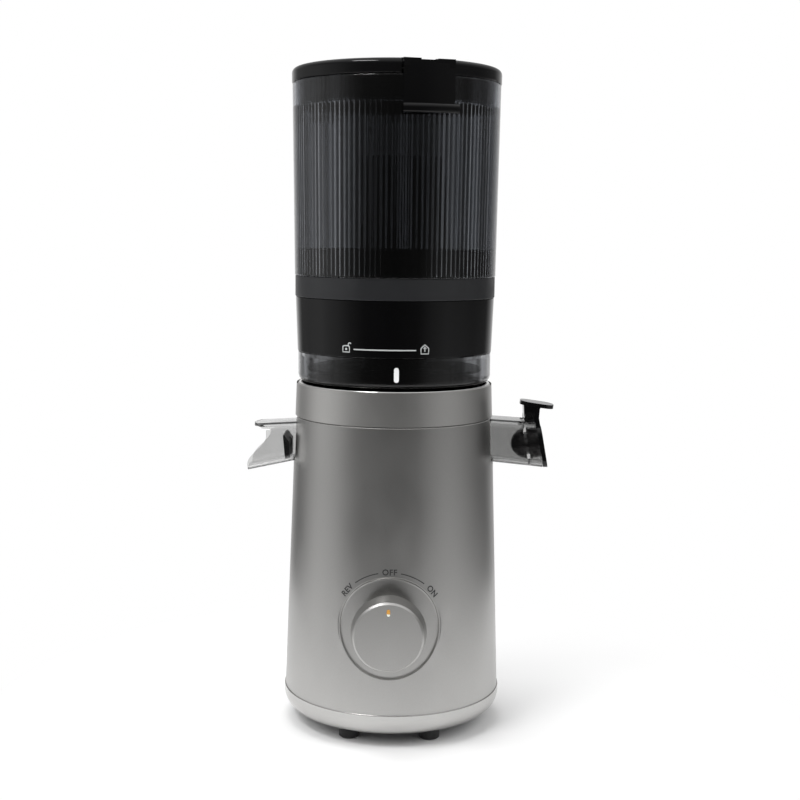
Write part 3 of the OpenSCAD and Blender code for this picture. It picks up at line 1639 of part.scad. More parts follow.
// The bracket on the back of the tube: a curved pad with two ears
module hinge_bracket() {
  pad_t = 2.4;
  pad_low = tube_top - 20;
  pad_top = tube_top - 2.6;
  pad_in = tube_r(tube_top) + fit_gap;
  color(gloss_black)
    with_hopper()
      difference() {
        union() {
          intersection() {
            ring(pad_in + pad_t, pad_in, pad_low, pad_top - pad_low);
            translate([-bracket_w / 2, 0, pad_low - 1]) cube([bracket_w, hinge_r, pad_top - pad_low + 2]);
          }
          for (side = [-1, 1])
            translate([side * (bracket_w - bracket_ear_t) / 2 - bracket_ear_t / 2, 0, 0])
              rotate([90, 0, 90])
                linear_extrude(height = bracket_ear_t) {
                  translate([hinge_r, hinge_z]) circle(r = knuckle_r);
                  polygon([
                    [pad_in + 0.8, pad_low + 1],
                    [pad_in + pad_t + 0.6, pad_low + 1],
                    [hinge_r + knuckle_r, hinge_z - 1],
                    [hinge_r - knuckle_r + 1, hinge_z],
                    [pad_in + 0.8, pad_top - 1],
                  ]);
                }
        }
        translate([-bracket_w, hinge_r, hinge_z])
          sideways() cylinder(h = 2 * bracket_w, r = lid_pin_d / 2 + fit_gap / 2);
      }
}

module lid_pin() {
  color(steel)
    with_hopper()
      translate([-bracket_w / 2 - 0.6, hinge_r, hinge_z]) sideways() cylinder(h = bracket_w + 1.2, d = lid_pin_d);
}

// ---------------------------------------------------------------- lid and latch

rim_in = lid_r - 8.4;
latch_barrel_r = 3.2;
latch_in = 1.4;
latch_y = lid_r - latch_barrel_r - latch_in;
latch_z = lid_rim_top - latch_barrel_r;
latch_gap = 0.4;
latch_plate_t = 1.8;
latch_in_r = max(lid_r, tube_top_r) + latch_gap;
latch_out_r = latch_in_r + latch_plate_t;

module lid() {
  plug_top_r = tube_top_r - tube_wall - 0.8;
  plug_low_r = plug_top_r - 1.6;
  plug_t = 2;
  lid_t = 2.6;
  dome_steps = 8;
  color(gloss_black)
    with_hopper()
      difference() {
        union() {
          rotate_extrude()
            difference() {
              union() {
                translate([rim_in, lid_z]) square([lid_r - rim_in, lid_rim_h]);
                polygon(concat(
                  [[0, lid_rim_top - lid_t], [rim_in + 1, lid_rim_top - lid_t]],
                  [[rim_in + 1, lid_rim_top]],
                  [for (i = [dome_steps:-1:0])
                    let (x = rim_in * i / dome_steps)
                      [x, lid_rim_top + lid_dome_h * (1 - pow(i / dome_steps, 2))]]
                ));
                polygon([
                  [plug_low_r - plug_t, lid_z - lid_plug_deep],
                  [plug_low_r, lid_z - lid_plug_deep],
                  [plug_top_r, lid_z + 1],
                  [plug_top_r - plug_t, lid_z + 1],
                ]);
              }
              corner_bit(lid_r, lid_rim_top, lid_edge_r, 1, 1);
              corner_bit(lid_r, lid_z, 0.8, 1, -1);
            }
          // knuckle round the hinge pin
          translate([-knuckle_w / 2, 0, 0])
            rotate([90, 0, 90])
              linear_extrude(height = knuckle_w) {
                translate([hinge_r, hinge_z]) circle(r = knuckle_r);
                translate([lid_r - 2, hinge_z - knuckle_r + 0.4])
                  square([hinge_r - lid_r + 2, 2 * knuckle_r - 0.8]);
              }
        }
        translate([-knuckle_w, hinge_r, hinge_z])
          sideways() cylinder(h = 2 * knuckle_w, r = lid_pin_d / 2 + run_gap);
        // pocket for the latch
        translate([-latch_w / 2 - latch_gap, 0, 0])
          rotate([90, 0, 90])
            linear_extrude(height = latch_w + 2 * latch_gap) {
              translate([-latch_y, latch_z]) circle(r = latch_barrel_r + latch_gap);
              translate([-lid_r - past, latch_z]) square([lid_r + past - latch_y + latch_barrel_r + latch_gap, past * 2]);
              translate([-lid_r - past, lid_z - nudge])
                square([lid_r + past - latch_y + latch_barrel_r - 2, latch_z - lid_z + 2 * nudge]);
            }
        translate([-latch_w / 2 - 3.2, -latch_y, latch_z])
          sideways() cylinder(h = latch_w + 6.4, r = latch_pin_d / 2 + run_gap);
      }
}

module latch_pin() {
  color(steel)
    with_hopper()
      translate([-latch_w / 2 - 3, -latch_y, latch_z])
        sideways() cylinder(h = latch_w + 6, d = latch_pin_d);
}

spring_half = 4;
spring_wire = 0.8;

module latch_spring() {
  turns = 4;
  color(steel)
    with_hopper()
      translate([-turns * spring_wire / 2 + spring_wire / 2, -latch_y, latch_z])
        sideways()
          for (i = [0:turns - 1])
            translate([0, 0, i * spring_wire])
              rotate_extrude()
                translate([latch_pin_d / 2 + run_gap + spring_wire / 2, 0]) circle(d = spring_wire * 0.9, $fn = 24);
}

module lid_latch() {
  half = asin(latch_w / 2 / latch_out_r);
  lip_half = asin(lip_w / 2 / (latch_out_r + lip_reach));
  lip_z = lid_rim_top - latch_len;
  notch = [11.5, 1.9];
  color(gloss_black)
    with_hopper()
      difference() {
        union() {
          translate([-latch_w / 2, 0, 0])
            rotate([90, 0, 90])
              linear_extrude(height = latch_w) {
                translate([-latch_y, latch_z]) circle(r = latch_barrel_r);
                translate([-latch_in_r - 0.6, latch_z - latch_barrel_r + 0.6])
                  square([latch_in_r + 0.6 - latch_y, 2 * latch_barrel_r - 1]);
              }
          revolve_arc(-90 - half, 2 * half)
            translate([latch_in_r, lip_z + 1])
              square([latch_plate_t, latch_len - latch_barrel_r - 1]);
          revolve_arc(-90 - lip_half, 2 * lip_half)
            difference() {
              translate([latch_in_r, lip_z]) square([latch_plate_t + lip_reach, lip_h]);
              corner_bit(latch_out_r + lip_reach, lip_z + lip_h, lip_h * 0.45, 1, 1);
              corner_bit(latch_out_r + lip_reach, lip_z, lip_h * 0.3, 1, -1);
              translate([latch_in_r - nudge, lip_z - nudge]) square([latch_plate_t + 1, 1.6]);
            }
        }
        translate([-latch_w, -latch_y, latch_z])
          sideways() cylinder(h = 2 * latch_w, r = latch_pin_d / 2 + run_gap);
        translate([-spring_half / 2 - free_gap, -latch_y - latch_barrel_r * 0.7, latch_z - latch_barrel_r])
          cube([spring_half + 2 * free_gap, latch_barrel_r * 2, 3 * latch_barrel_r]);
        translate([-notch.x / 2, -latch_out_r - past, latch_z + latch_barrel_r - notch.y])
          cube([notch.x, 3 * past, past]);
      }
}

base_plate();
feet();
plate_screws();
base_trim();
body_shell();
cord_gland();
frame_posts();
motor_can();
motor_end_bell();
stator();
windings();
bearings();
gearbox_case();
gearbox_cover();
cover_screws();
lay_pin();
deck();
deck_seal();
rotary_switch();
control_board();
board_screws();
bowl_floor();
bowl();
bowl_seal();
silver_collar();
strainer();
juice_spout();
pulp_spout();
pulp_flap();
cap_pin();
rotor();
cooling_fan();
motor_pinion();
lay_gear();
output_gear();
drive_shaft();
drive_socket();
auger_screw();
cutting_wing();
knob();
knob_marker();
knob_shaft();
hopper_skirt();
hopper_seal();
hopper_floor();
hopper_band();
hopper_tube();
hinge_bracket();
lid_pin();
lid();
latch_pin();
latch_spring();
lid_latch();
juice_cap();
cap_plug();
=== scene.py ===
"""Finishes, printed signs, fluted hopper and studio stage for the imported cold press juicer."""

import math

import bmesh
import bpy
from mathutils import Matrix, Vector


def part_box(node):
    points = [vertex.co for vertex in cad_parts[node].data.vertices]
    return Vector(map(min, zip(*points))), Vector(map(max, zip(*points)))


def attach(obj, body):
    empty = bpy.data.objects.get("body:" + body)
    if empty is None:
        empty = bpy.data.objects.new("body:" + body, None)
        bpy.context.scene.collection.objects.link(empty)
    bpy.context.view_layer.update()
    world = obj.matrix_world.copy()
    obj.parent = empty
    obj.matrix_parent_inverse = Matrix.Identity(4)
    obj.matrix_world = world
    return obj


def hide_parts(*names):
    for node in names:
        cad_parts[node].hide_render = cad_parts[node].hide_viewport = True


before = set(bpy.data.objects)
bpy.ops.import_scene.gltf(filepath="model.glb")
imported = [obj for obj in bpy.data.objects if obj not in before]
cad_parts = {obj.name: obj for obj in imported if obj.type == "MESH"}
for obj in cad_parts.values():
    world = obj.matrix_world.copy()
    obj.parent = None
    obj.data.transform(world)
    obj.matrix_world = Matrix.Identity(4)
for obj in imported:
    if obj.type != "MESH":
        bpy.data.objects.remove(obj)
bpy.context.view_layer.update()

bl_info = {
    "name": "Cold Press Juicer",
    "version": (1, 0, 0),
    "blender": (4, 5, 0),
    "location": "View3D > Sidebar > Juicer",
    "description": "Gives the packed juicer its finishes, printed signs, fluted hopper and stage",
    "category": "Object",
}

MM = 0.001


# ---------------------------------------------------------------- sizes

# Fluted tube of the hopper
TUBE_WALL = 2.4 * MM
TUBE_EDGE = 0.4 * MM  # bevel at the rims
TUBE_LOOP = 0.8 * MM  # from a rim to the ring that keeps the long wall's shading straight
FLUTES = 120
FLUTE_STEPS = 8  # corners in each flute
FLUTE_DEPTH = 1.6 * MM
PLUG_ROOM = 16 * MM  # plain wall at the top, which the lid's plug fits into
FLUTE_UNEVEN = 0.4  # how much the flutes' depth varies round the tube

# Polished bead on the collar's top edge, in a paler silver than the collar: a painted highlight line
# along that edge
BEAD_RADIUS = 67.2 * MM
BEAD_THICK = 0.7 * MM  # radius of its section
BEAD_SINK = 0.5 * MM  # from the collar's top down to its middle
BEAD_AROUND, BEAD_ACROSS = 192, 10

# Rounded edge of the recess round the dial, as (distance from the dial's axis, height over the
# stand's wall), in millimetres
DIAL_EDGE = (
    (36.2, 0.005), (35.8, 0.03), (35.4, 0.03), (35.15, -0.05), (34.9, -0.25),
    (34.65, -0.5), (34.4, -0.7), (34.1, -0.83), (33.7, -0.88), (33.2, -0.895),
)
DIAL_EDGE_AROUND = 144

# Lettering
CAPITALS = 0.69  # height of the font's capitals, as a share of its size
LETTER_WEIGHT = 0.04  # thickening of the strokes, as a share of the capitals' height
LETTER_SPACING = 1.08
LETTER_STEPS = 6

# Legends round the dial: each word's turn from the top, and the arcs between words, in degrees
LEGENDS = (("REV", 50.0), ("OFF", 0.0), ("ON", -50.0))
LEGEND_ARCS = ((101.5, 128.0), (52.0, 78.5))
LEGEND_LINE = 0.7 * MM
LEGEND_STEPS = 20

# Signs on the skirt and the mark on the bowl; turns are in degrees to the right of the front
OPEN_LOCK_TURN = -26.5
CLOSED_LOCK_TURN = 18.4
LOCKS_RISE = 6 * MM  # from the skirt's lower edge up to the signs' middle
LINE_START = 5.6 * MM  # from the open padlock's middle to the line between the padlocks
LINE_STOP = 6 * MM  # from that line to the closed padlock's middle
LINE_STEPS = 24
LINE_WEIGHT = 1.15  # as a share of the padlocks' lines
ARROW_WEIGHT = 0.7  # as a share of the padlocks' lines
MARK_TURN = 2.6
MARK_Z = 256.4 * MM

INK_LIFT = 0.06 * MM  # how far the print stands out
LOCK_INK_LIFT = 0.05 * MM
POINTER_TIP = 1.5 * MM  # length of the pointer's pale end
POINTER_BLEND = 0.3 * MM


# ---------------------------------------------------------------- finishes and stage

# Painted light: how pale clear plastic is painted, from 0 to 1, by distance in millimetres from the
# middle plane. The pale sides stand in for the light that the round walls bend and reflect, and the
# darker middle is painted shade.
HOPPER_PAINTED_SIDE_LIGHT = (
    (0, 0.08), (25, 0.1), (31, 0.9), (50, 1.0), (56, 0.45), (61, 0.4), (64, 1.0), (70, 1.0),
)
BOWL_PAINTED_SIDE_LIGHT = (
    (0, 0.1), (36, 0.12), (40, 0.35), (48, 0.4), (50, 0.9), (57, 0.8), (66, 1.0), (70, 1.0),
)
PAINTED_SIDE_LIGHT_REACH = 70

# Upright streaks in clear plastic: coarse and fine ones, by how many there are to a radian
HOPPER_STREAKS = (5.0, 34.0)
BOWL_STREAKS = (3.0, 8.0)
DARK_STREAK, PALE_STREAK = 0.15, 2.0  # as a share of the plastic's colour

STEEL = (0.5, 0.5, 0.51)
NO_STRETCH = (1, 1, 1)

# How bright the room is at eye height and below it, by direction in degrees: 0 is in front of the
# juicer, positive to the right. It is white behind, has soft windows at the sides, and is darker
# in front.
ROOM = (
    (-180, 1.0), (-156, 0.8), (-136, 0.2), (-116, 0.4), (-92, 0.75), (-68, 0.6), (-50, 0.25),
    (-34, 0.1), (0, 0.06), (30, 0.08), (46, 0.16), (64, 0.2), (84, 0.14), (104, 0.08),
    (134, 0.08), (156, 0.7), (180, 1.0),
)
ROOM_BELOW = (
    (-180, 1.0), (-156, 0.8), (-138, 0.14), (-118, 0.3), (-92, 0.75), (-68, 0.6), (-50, 0.3),
    (-34, 0.12), (0, 0.08), (28, 0.14), (44, 0.4), (64, 0.62), (84, 0.5), (104, 0.3),
    (134, 0.16), (156, 0.7), (180, 1.0),
)
ROOM_ABOVE = 0.4
ROOM_DIFFUSE = 0.35  # the even light that falls on matt surfaces
WHITE = 1.0

# Where one part of the room blends into the next, by the Z of the direction
HORIZON = (-0.2, 0.02)
ABOVE = (0.0, 0.35)
OVERHEAD = (0.4, 0.8)
# Where the room that shows through clear pieces turns white, by the Y of the direction
REAR = (-0.1, 0.3)

FLOOR_RADIUS = 0.45
FLOOR_CORNERS = 96
FLOOR_FADE = (0.07, 0.3)  # the floor turns into the background between these radii

# Lamps: name, the setting with its strength, place, target, width and height, seen in gloss or not
LAMPS = (
    ("key_left", "key", (-0.75, -0.55, 0.85), (0, 0, 0.22), (0.7, 0.9), False),
    ("fill_right", "fill", (0.8, -0.35, 0.75), (0, 0, 0.2), (0.7, 0.9), False),
    ("top", "top", (-0.1, 0.1, 1.2), (0, 0, 0.3), (0.7, 0.7), False),
    ("ceiling", "ceiling", (-0.56, -0.67, 1.35), (0, 0, 0.45), (0.5, 0.2), True),
)

CAMERA_TURN = math.radians(1.1)  # round the juicer's axis
CAMERA_ROLL = math.radians(0.59)
CAMERA_OFFSET = 4.34 * MM  # to the right of the line to the axis
SENSOR_WIDTH = 36


# ---------------------------------------------------------------- node helpers

# A Mix node's sockets for colours, which share their names with those for numbers
COLOR_A, COLOR_B, COLOR_RESULT = 6, 7, 2


class Nodes:
    """Builds a node tree. A value given to a node is a number or another node's output."""

    def __init__(self, tree):
        self.tree = tree

    def node(self, kind, **settings):
        made = self.tree.nodes.new("ShaderNode" + kind)
        for key, value in settings.items():
            setattr(made, key, value)
        return made

    def feed(self, socket, value):
        if isinstance(value, bpy.types.NodeSocket):
            self.tree.links.new(value, socket)
        else:
            socket.default_value = value

    def math(self, operation, *values):
        made = self.node("Math", operation=operation)
        for socket, value in zip(made.inputs, values):
            self.feed(socket, value)
        return made.outputs["Value"]

    def split(self, coordinates):
        """The X, Y and Z of the texture coordinates of a kind, Object or Generated."""
        parts = self.node("SeparateXYZ")
        self.feed(parts.inputs["Vector"], self.node("TexCoord").outputs[coordinates])
        return parts.outputs

    def ranged(self, value, start=0.3, stop=0.7, low=0, high=1, **settings):
        """Maps start..stop, at first the middle of a noise's range, to low..high."""
        mapped = self.node("MapRange", **settings)
        limits = (("From Min", start), ("From Max", stop), ("To Min", low), ("To Max", high))
        for key, number in limits:
            mapped.inputs[key].default_value = number
        self.feed(mapped.inputs["Value"], value)
        return mapped.outputs["Result"]

    def ramp(self, value, stops):
        """Turns a value from 0 to 1 into the levels of stops, a list of (position, level)."""
        made = self.node("ValToRGB")
        elements = made.color_ramp.elements
        while len(elements) < len(stops):
            elements.new(0.5)
        for element, (position, level) in zip(elements, stops):
            element.position = position
            element.color = (level, level, level, 1)
        self.feed(made.inputs["Fac"], value)
        return made.outputs["Color"]

    def choose(self, share, other, chosen):
        """Blends from the value other to the value chosen, by share."""
        mix = self.node("Mix")
        for key, value in (("Factor", share), ("A", other), ("B", chosen)):
            self.feed(mix.inputs[key], value)
        return mix.outputs["Result"]


class Finish(Nodes):
    """A material under construction. Values are the shader's sockets, with underscores for spaces."""

    def __init__(self, name, **values):
        self.material = bpy.data.materials.new(name)
        self.material.use_nodes = True
        super().__init__(self.material.node_tree)
        self.shader = self.tree.nodes["Principled BSDF"]
        for key, value in values.items():
            self.shader.inputs[key.replace("_", " ")].default_value = value

    def place(self):
        """Position on the piece, in metres, in the frame that all pieces share."""
        return self.node("TexCoord").outputs["Object"]

    def noise(self, size, stretch=NO_STRETCH, detail=2.0):
        """Noise with features about size metres across, drawn out by stretch."""
        mapping = self.node("Mapping")
        mapping.inputs["Scale"].default_value = [1 / (size * s) for s in stretch]
        self.feed(mapping.inputs["Vector"], self.place())
        texture = self.node("TexNoise")
        texture.inputs["Scale"].default_value = 1.0
        texture.inputs["Detail"].default_value = detail
        self.feed(texture.inputs["Vector"], mapping.outputs["Vector"])
        return texture.outputs["Fac"]

    def streaks(self, angle, scale):
        """Streaks that run down a round wall, by the angle round its axis."""
        texture = self.node("TexNoise", noise_dimensions="1D")
        texture.inputs["Scale"].default_value = scale
        self.feed(texture.inputs["W"], angle)
        return self.ranged(texture.outputs["Fac"], 0.4, 0.6)

    def tint(self, value, dark, light):
        """Colours the surface from dark to light by a value."""
        mix = self.node("Mix", data_type="RGBA")
        mix.inputs[COLOR_A].default_value = (*dark, 1)
        mix.inputs[COLOR_B].default_value = (*light, 1)
        self.feed(mix.inputs["Factor"], value)
        self.feed(self.shader.inputs["Base Color"], mix.outputs[COLOR_RESULT])

    def rough(self, value, low, high):
        self.feed(self.shader.inputs["Roughness"], self.ranged(value, low=low, high=high))

    def bump(self, value, depth):
        bump = self.node("Bump")
        bump.inputs["Distance"].default_value = depth
        self.feed(bump.inputs["Height"], value)
        self.feed(self.shader.inputs["Normal"], bump.outputs["Normal"])


# ---------------------------------------------------------------- finishes


def shades(color, spread):
    """A darker and a lighter shade of a colour."""
    return tuple(c * (1 - spread) for c in color), tuple(min(1, c * (1 + spread)) for c in color)


def metal(name, color, roughness, grain=0.4 * MM, stretch=NO_STRETCH, spread=0.04, depth=0.004 * MM):
    """A metallic finish with a fine grain, drawn out along stretch for drawn or stacked pieces."""
    made = Finish(name, Metallic=1.0)
    fine = made.noise(grain, stretch, detail=3.0)
    cloud = made.noise(30 * MM, (1, 1, 1.6))
    made.tint(made.ranged(fine), *shades(color, spread))
    made.rough(cloud, roughness * 0.92, roughness * 1.08)
    made.bump(fine, depth)
    return made.material


def satin_metal(name, color, roughness):
    """The fine blasted metal of the stand."""
    return metal(name, color, roughness, grain=0.5 * MM)


def polished_metal(name, color, roughness):
    """Metal with hardly any grain left."""
    return metal(name, color, roughness, grain=0.8 * MM, spread=0.02, depth=0.0005 * MM)


def plastic(name, color, roughness, grain=0.5 * MM, depth=0.01 * MM, coat=0.0, specular=0.5):
    """A moulded plastic: a little texture, and handling that dulls the gloss in patches."""
    made = Finish(name, Coat_Weight=coat, Coat_Roughness=0.06, Specular_IOR_Level=specular)
    fine = made.noise(grain, detail=3.0)
    patch = made.noise(20 * MM, detail=4.0)
    made.tint(made.ranged(patch), *shades(color, 0.06))
    made.rough(patch, roughness * 0.85, roughness * 1.2)
    made.bump(fine, depth)
    return made.material


def rubber(name, color, roughness=0.75):
    """Rubber or silicone: matt, with a faint dusty bloom."""
    made = Finish(name, Specular_IOR_Level=0.35, Sheen_Weight=0.15, Sheen_Roughness=0.5)
    fine = made.noise(0.8 * MM, detail=4.0)
    bloom = made.noise(8 * MM, detail=3.0)
    made.tint(made.ranged(bloom), *shades(color, 0.15))
    made.rough(fine, roughness * 0.9, roughness * 1.1)
    made.bump(fine, 0.02 * MM)
    return made.material


def clear_plastic(name, color):
    """Clear moulded plastic with flow lines that bend what shows through it a little."""
    made = Finish(name, Transmission_Weight=1.0, IOR=1.49)
    flow = made.noise(6 * MM, (1, 1, 2.5))
    made.tint(made.ranged(flow), *shades(color, 0.02))
    made.rough(flow, 0.03, 0.06)
    made.bump(flow, 0.01 * MM)
    return made.material


def streaky_plastic_painted_sides(name, color, painted_side_light, streaks):
    """See-through plastic with coarse and fine upright streaks. Its tint is painted light: darker
    near the middle plane and paler towards the sides, by the given table, for the light that the
    round wall bends and reflects.
    """
    made = Finish(name, Transmission_Weight=1.0, IOR=1.45)
    place = made.split("Object")
    angle = made.math("ARCTAN2", place["Y"], place["X"])
    coarse, fine = (made.streaks(angle, scale) for scale in streaks)
    both = made.math("MULTIPLY_ADD", coarse, 0.5, made.math("MULTIPLY", fine, 0.5))
    # Painted light: paleness by distance from the middle plane, standing in for the light that the
    # round wall bends and reflects
    across = made.ranged(made.math("ABSOLUTE", place["X"]), 0, PAINTED_SIDE_LIGHT_REACH * MM)
    side = made.ramp(across, [(x / PAINTED_SIDE_LIGHT_REACH, paleness) for x, paleness in painted_side_light])
    dark = tuple(c * DARK_STREAK for c in color)
    pale = tuple(min(1, c * PALE_STREAK) for c in color)
    made.tint(made.math("MULTIPLY", both, side), dark, pale)
    made.rough(made.noise(10 * MM, (1, 1, 6)), 0.02, 0.05)
    return made.material


def ink(name, color):
    """Printed ink: flat colour with a slightly uneven film."""
    made = Finish(name)
    film = made.noise(1.5 * MM)
    made.tint(made.ranged(film), *shades(color, 0.03))
    made.rough(film, 0.45, 0.55)
    return made.material


def pointer_finish(name, color, tip, tip_z):
    """The pointer mark: coloured, with a pale lower end below the height tip_z."""
    made = Finish(name, Roughness=0.4)
    height = made.split("Object")["Z"]
    made.tint(made.ranged(height, tip_z - POINTER_BLEND, tip_z + POINTER_BLEND), tip, color)
    return made.material


def floor_finish():
    """Pale floor: it keeps the juicer's shadow and turns into the plain background further out."""
    made = Finish("pale_floor", Base_Color=(0.86, 0.86, 0.86, 1), Roughness=0.9)
    length = made.node("VectorMath", operation="LENGTH")
    made.feed(length.inputs[0], made.place())
    away = made.ranged(length.outputs["Value"], *FLOOR_FADE)
    path = made.node("LightPath").outputs
    seen = made.math("MAXIMUM", path["Is Camera Ray"], path["Is Glossy Ray"])
    seen = made.math("MAXIMUM", seen, path["Is Transmission Ray"])
    mix = made.node("MixShader")
    made.feed(mix.inputs["Fac"], made.math("MULTIPLY", away, seen))
    made.feed(mix.inputs[1], made.shader.outputs["BSDF"])
    made.feed(mix.inputs[2], made.node("Emission").outputs["Emission"])
    made.feed(made.tree.nodes["Material Output"].inputs["Surface"], mix.outputs["Shader"])
    return made.material


def dress(names, material):
    """Puts a material on CAD nodes, in place of what they came with."""
    for name in names:
        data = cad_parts[name].data
        data.materials.clear()
        data.materials.append(material)


# ---------------------------------------------------------------- shapes


def node_points(node):
    """The points of a CAD node's mesh."""
    return [v.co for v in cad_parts[node].data.vertices]


def radius_between(node):
    """How a node's outer radius runs from its lowest to its highest point, as a function of z."""
    points = node_points(node)
    low = min(p.z for p in points)
    high = max(p.z for p in points)
    at_low = max(math.hypot(p.x, p.y) for p in points if p.z < low + 2 * MM)
    at_high = max(math.hypot(p.x, p.y) for p in points if p.z > high - 2 * MM)
    return lambda z: at_low + (at_high - at_low) * (z - low) / (high - low)


def dial_z():
    """Height of the dial's axis."""
    low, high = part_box("knob")
    return (low.z + high.z) / 2


def mesh_piece(name, points, faces, material, smooth=True):
    """A mesh object from points in metres and faces, linked to the scene."""
    data = bpy.data.meshes.new(name)
    data.from_pydata([tuple(p) for p in points], [], faces)
    data.update()
    piece = bpy.data.objects.new(name, data)
    bpy.context.scene.collection.objects.link(piece)
    data.materials.append(material)
    if smooth:
        data.polygons.foreach_set("use_smooth", [True] * len(data.polygons))
    return piece


def turns(count):
    """Angles spread evenly over a full turn, in radians."""
    return [2 * math.pi * i / count for i in range(count)]


def polar(radius, angle):
    return radius * math.cos(angle), radius * math.sin(angle)


def skin(sections, closed):
    """Points and faces of a surface that joins each section to the next and the last to the first.

    All sections have equally many points. In a closed one the last point meets the first.
    """
    across = len(sections[0])
    faces = []
    for i in range(len(sections)):
        here = i * across
        there = (i + 1) % len(sections) * across
        for j in range(across if closed else across - 1):
            k = (j + 1) % across
            faces.append((here + j, there + j, there + k, here + k))
    return [point for section in sections for point in section], faces


def arc(center, radius, start, end, steps):
    """Points (u, v) along an arc, in degrees."""
    points = []
    for i in range(steps + 1):
        u, v = polar(radius, math.radians(start + (end - start) * i / steps))
        points.append((center[0] + u, center[1] + v))
    return points


def sized(size, points):
    """Points (u, v) scaled by a size."""
    return [(u * size, v * size) for u, v in points]


def stroke(points, width, closed=False):
    """Corners and faces of a flat line of the given width through points (u, v)."""
    count = len(points)
    corners, faces = [], []
    for i, (u, v) in enumerate(points):
        before = points[i - 1] if i or closed else points[i]
        after = points[(i + 1) % count] if i + 1 < count or closed else points[i]
        run = Vector((after[0] - before[0], after[1] - before[1])).normalized()
        side = Vector((-run.y, run.x)) * width / 2
        corners += [(u + side.x, v + side.y), (u - side.x, v - side.y)]
    for i in range(count if closed else count - 1):
        a, b = 2 * i, 2 * ((i + 1) % count)
        faces.append((a, a + 1, b + 1, b))
    return corners, faces


def filled(outline):
    """Corners and faces of a filled outline round (0, 0), as a fan from its middle."""
    count = len(outline)
    return [(0, 0)] + outline, [(0, i, i % count + 1) for i in range(1, count + 1)]


def aside(shift, shapes):
    """Shapes, each (corners, faces), moved sideways."""
    return [([(u + shift, v) for u, v in corners], faces) for corners, faces in shapes]


def joined(shapes):
    """Puts several (corners, faces) lists together."""
    corners, faces = [], []
    for more_corners, more_faces in shapes:
        start = len(corners)
        corners += more_corners
        faces += [tuple(start + i for i in face) for face in more_faces]
    return corners, faces


def letters(text, height):
    """Corners and faces of a word, centred on (0, 0) with its capitals height tall."""
    curve = bpy.data.curves.new("word", "FONT")
    curve.body = text
    curve.align_x = "CENTER"
    curve.align_y = "CENTER"
    curve.size = height / CAPITALS
    curve.offset = LETTER_WEIGHT * height
    curve.space_character = LETTER_SPACING
    curve.resolution_u = LETTER_STEPS
    holder = bpy.data.objects.new("word", curve)
    bpy.context.scene.collection.objects.link(holder)
    bpy.context.view_layer.update()
    graph = bpy.context.evaluated_depsgraph_get()
    data = bpy.data.meshes.new_from_object(holder.evaluated_get(graph))
    work = bmesh.new()
    work.from_mesh(data)
    bmesh.ops.triangulate(work, faces=work.faces)
    corners = [(v.co.x, v.co.y) for v in work.verts]
    faces = [tuple(v.index for v in f.verts) for f in work.faces]
    work.free()
    bpy.data.objects.remove(holder)
    bpy.data.curves.remove(curve)
    bpy.data.meshes.remove(data)
    return corners, faces


def on_cone(corners, radius_at, lift, turn=0.0):
    """Lays flat corners (u along the girth, v up, metres) on a cone, lift metres proud of it."""
    points = []
    for u, v in corners:
        radius = radius_at(v) + lift
        angle = u / radius + turn
        points.append((radius * math.sin(angle), -radius * math.cos(angle), v))
    return points


def printed(name, shapes, middle_z, radius_at, material, lift=INK_LIFT, turn=0.0):
    """Prints flat shapes, drawn round (0, 0), on a round wall at the height middle_z."""
    corners, faces = joined(shapes)
    points = on_cone([(u, v + middle_z) for u, v in corners], radius_at, lift, turn)
    return mesh_piece(name, points, faces, material, smooth=False)


def open_lock(half, line):
    """An open padlock with a keyhole; half is half of its width."""
    body = arc((-0.55, 0.35), 0.42, 180, 90, 4)
    body += arc((0.55, 0.35), 0.42, 90, 0, 4)
    body += [(0.97, -0.85), (-0.97, -0.85)]
    keyhole = arc((0, -0.08), 0.3, 0, 360, 12)[:-1]
    shackle = arc((1.02, 1.12), 0.42, 215, 30, 10)
    return [
        stroke(sized(half, body), line, closed=True),
        (sized(half, keyhole), [tuple(range(len(keyhole)))]),
        stroke(sized(half, shackle), line),
    ]


def closed_lock(half, line):
    """A closed padlock with an arrow up its middle; half is half of its width."""
    body = arc((-0.45, 0.15), 0.6, 180, 120, 4) + [(0, 1.35)]
    body += arc((0.45, 0.15), 0.6, 60, 0, 4) + [(1, -1), (-1, -1)]
    shaft = [(0, -0.45), (0, 0.9)]
    arrow = [(-0.42, 0.3), (0, 0.75), (0.42, 0.3)]
    return [
        stroke(sized(half, body), line, closed=True),
        stroke(sized(half, shaft), line),
        stroke(sized(half, arrow), ARROW_WEIGHT * line),
    ]


# ---------------------------------------------------------------- settings


def color_property(name, description, default):
    return bpy.props.FloatVectorProperty(
        name=name, description=description, default=default, size=3, min=0, max=1, subtype="COLOR"
    )


def length_property(name, description, default):
    return bpy.props.FloatProperty(
        name=name, description=description, default=default, min=0, unit="LENGTH", precision=4
    )


def lamp_property(name, place, watts):
    description = "Strength of the " + place + ", in watts"
    return bpy.props.FloatProperty(name=name, description=description, default=watts)


class JuicerFinishes(bpy.types.PropertyGroup):
    """Colours of the juicer's outer pieces"""

    silver: color_property("Silver", "Stand and knob", (0.46, 0.455, 0.445))
    collar: color_property("Collar", "Ring that carries the spouts", (0.59, 0.583, 0.568))
    trim: color_property("Trim", "Polished ring round the bottom", (0.5, 0.495, 0.485))
    black: color_property("Black", "Skirt, lid and juice cap", (0.001, 0.001, 0.0012))
    band: color_property("Band", "Satin band under the hopper", (0.012, 0.0125, 0.014))
    smoke: color_property("Smoke", "Tint of the hopper", (0.26, 0.27, 0.29))
    bowl: color_property("Bowl", "Tint of the bowl", (0.34, 0.345, 0.355))
    clear: color_property("Clear", "Tint of the juice spout", (0.45, 0.45, 0.447))
    pale: color_property("Pale", "Tint of the pulp spout", (0.7, 0.7, 0.697))
    print_dark: color_property("Dark print", "Words round the dial", (0.035, 0.035, 0.035))
    print_light: color_property("Light print", "Signs on the skirt", (0.5, 0.52, 0.52))


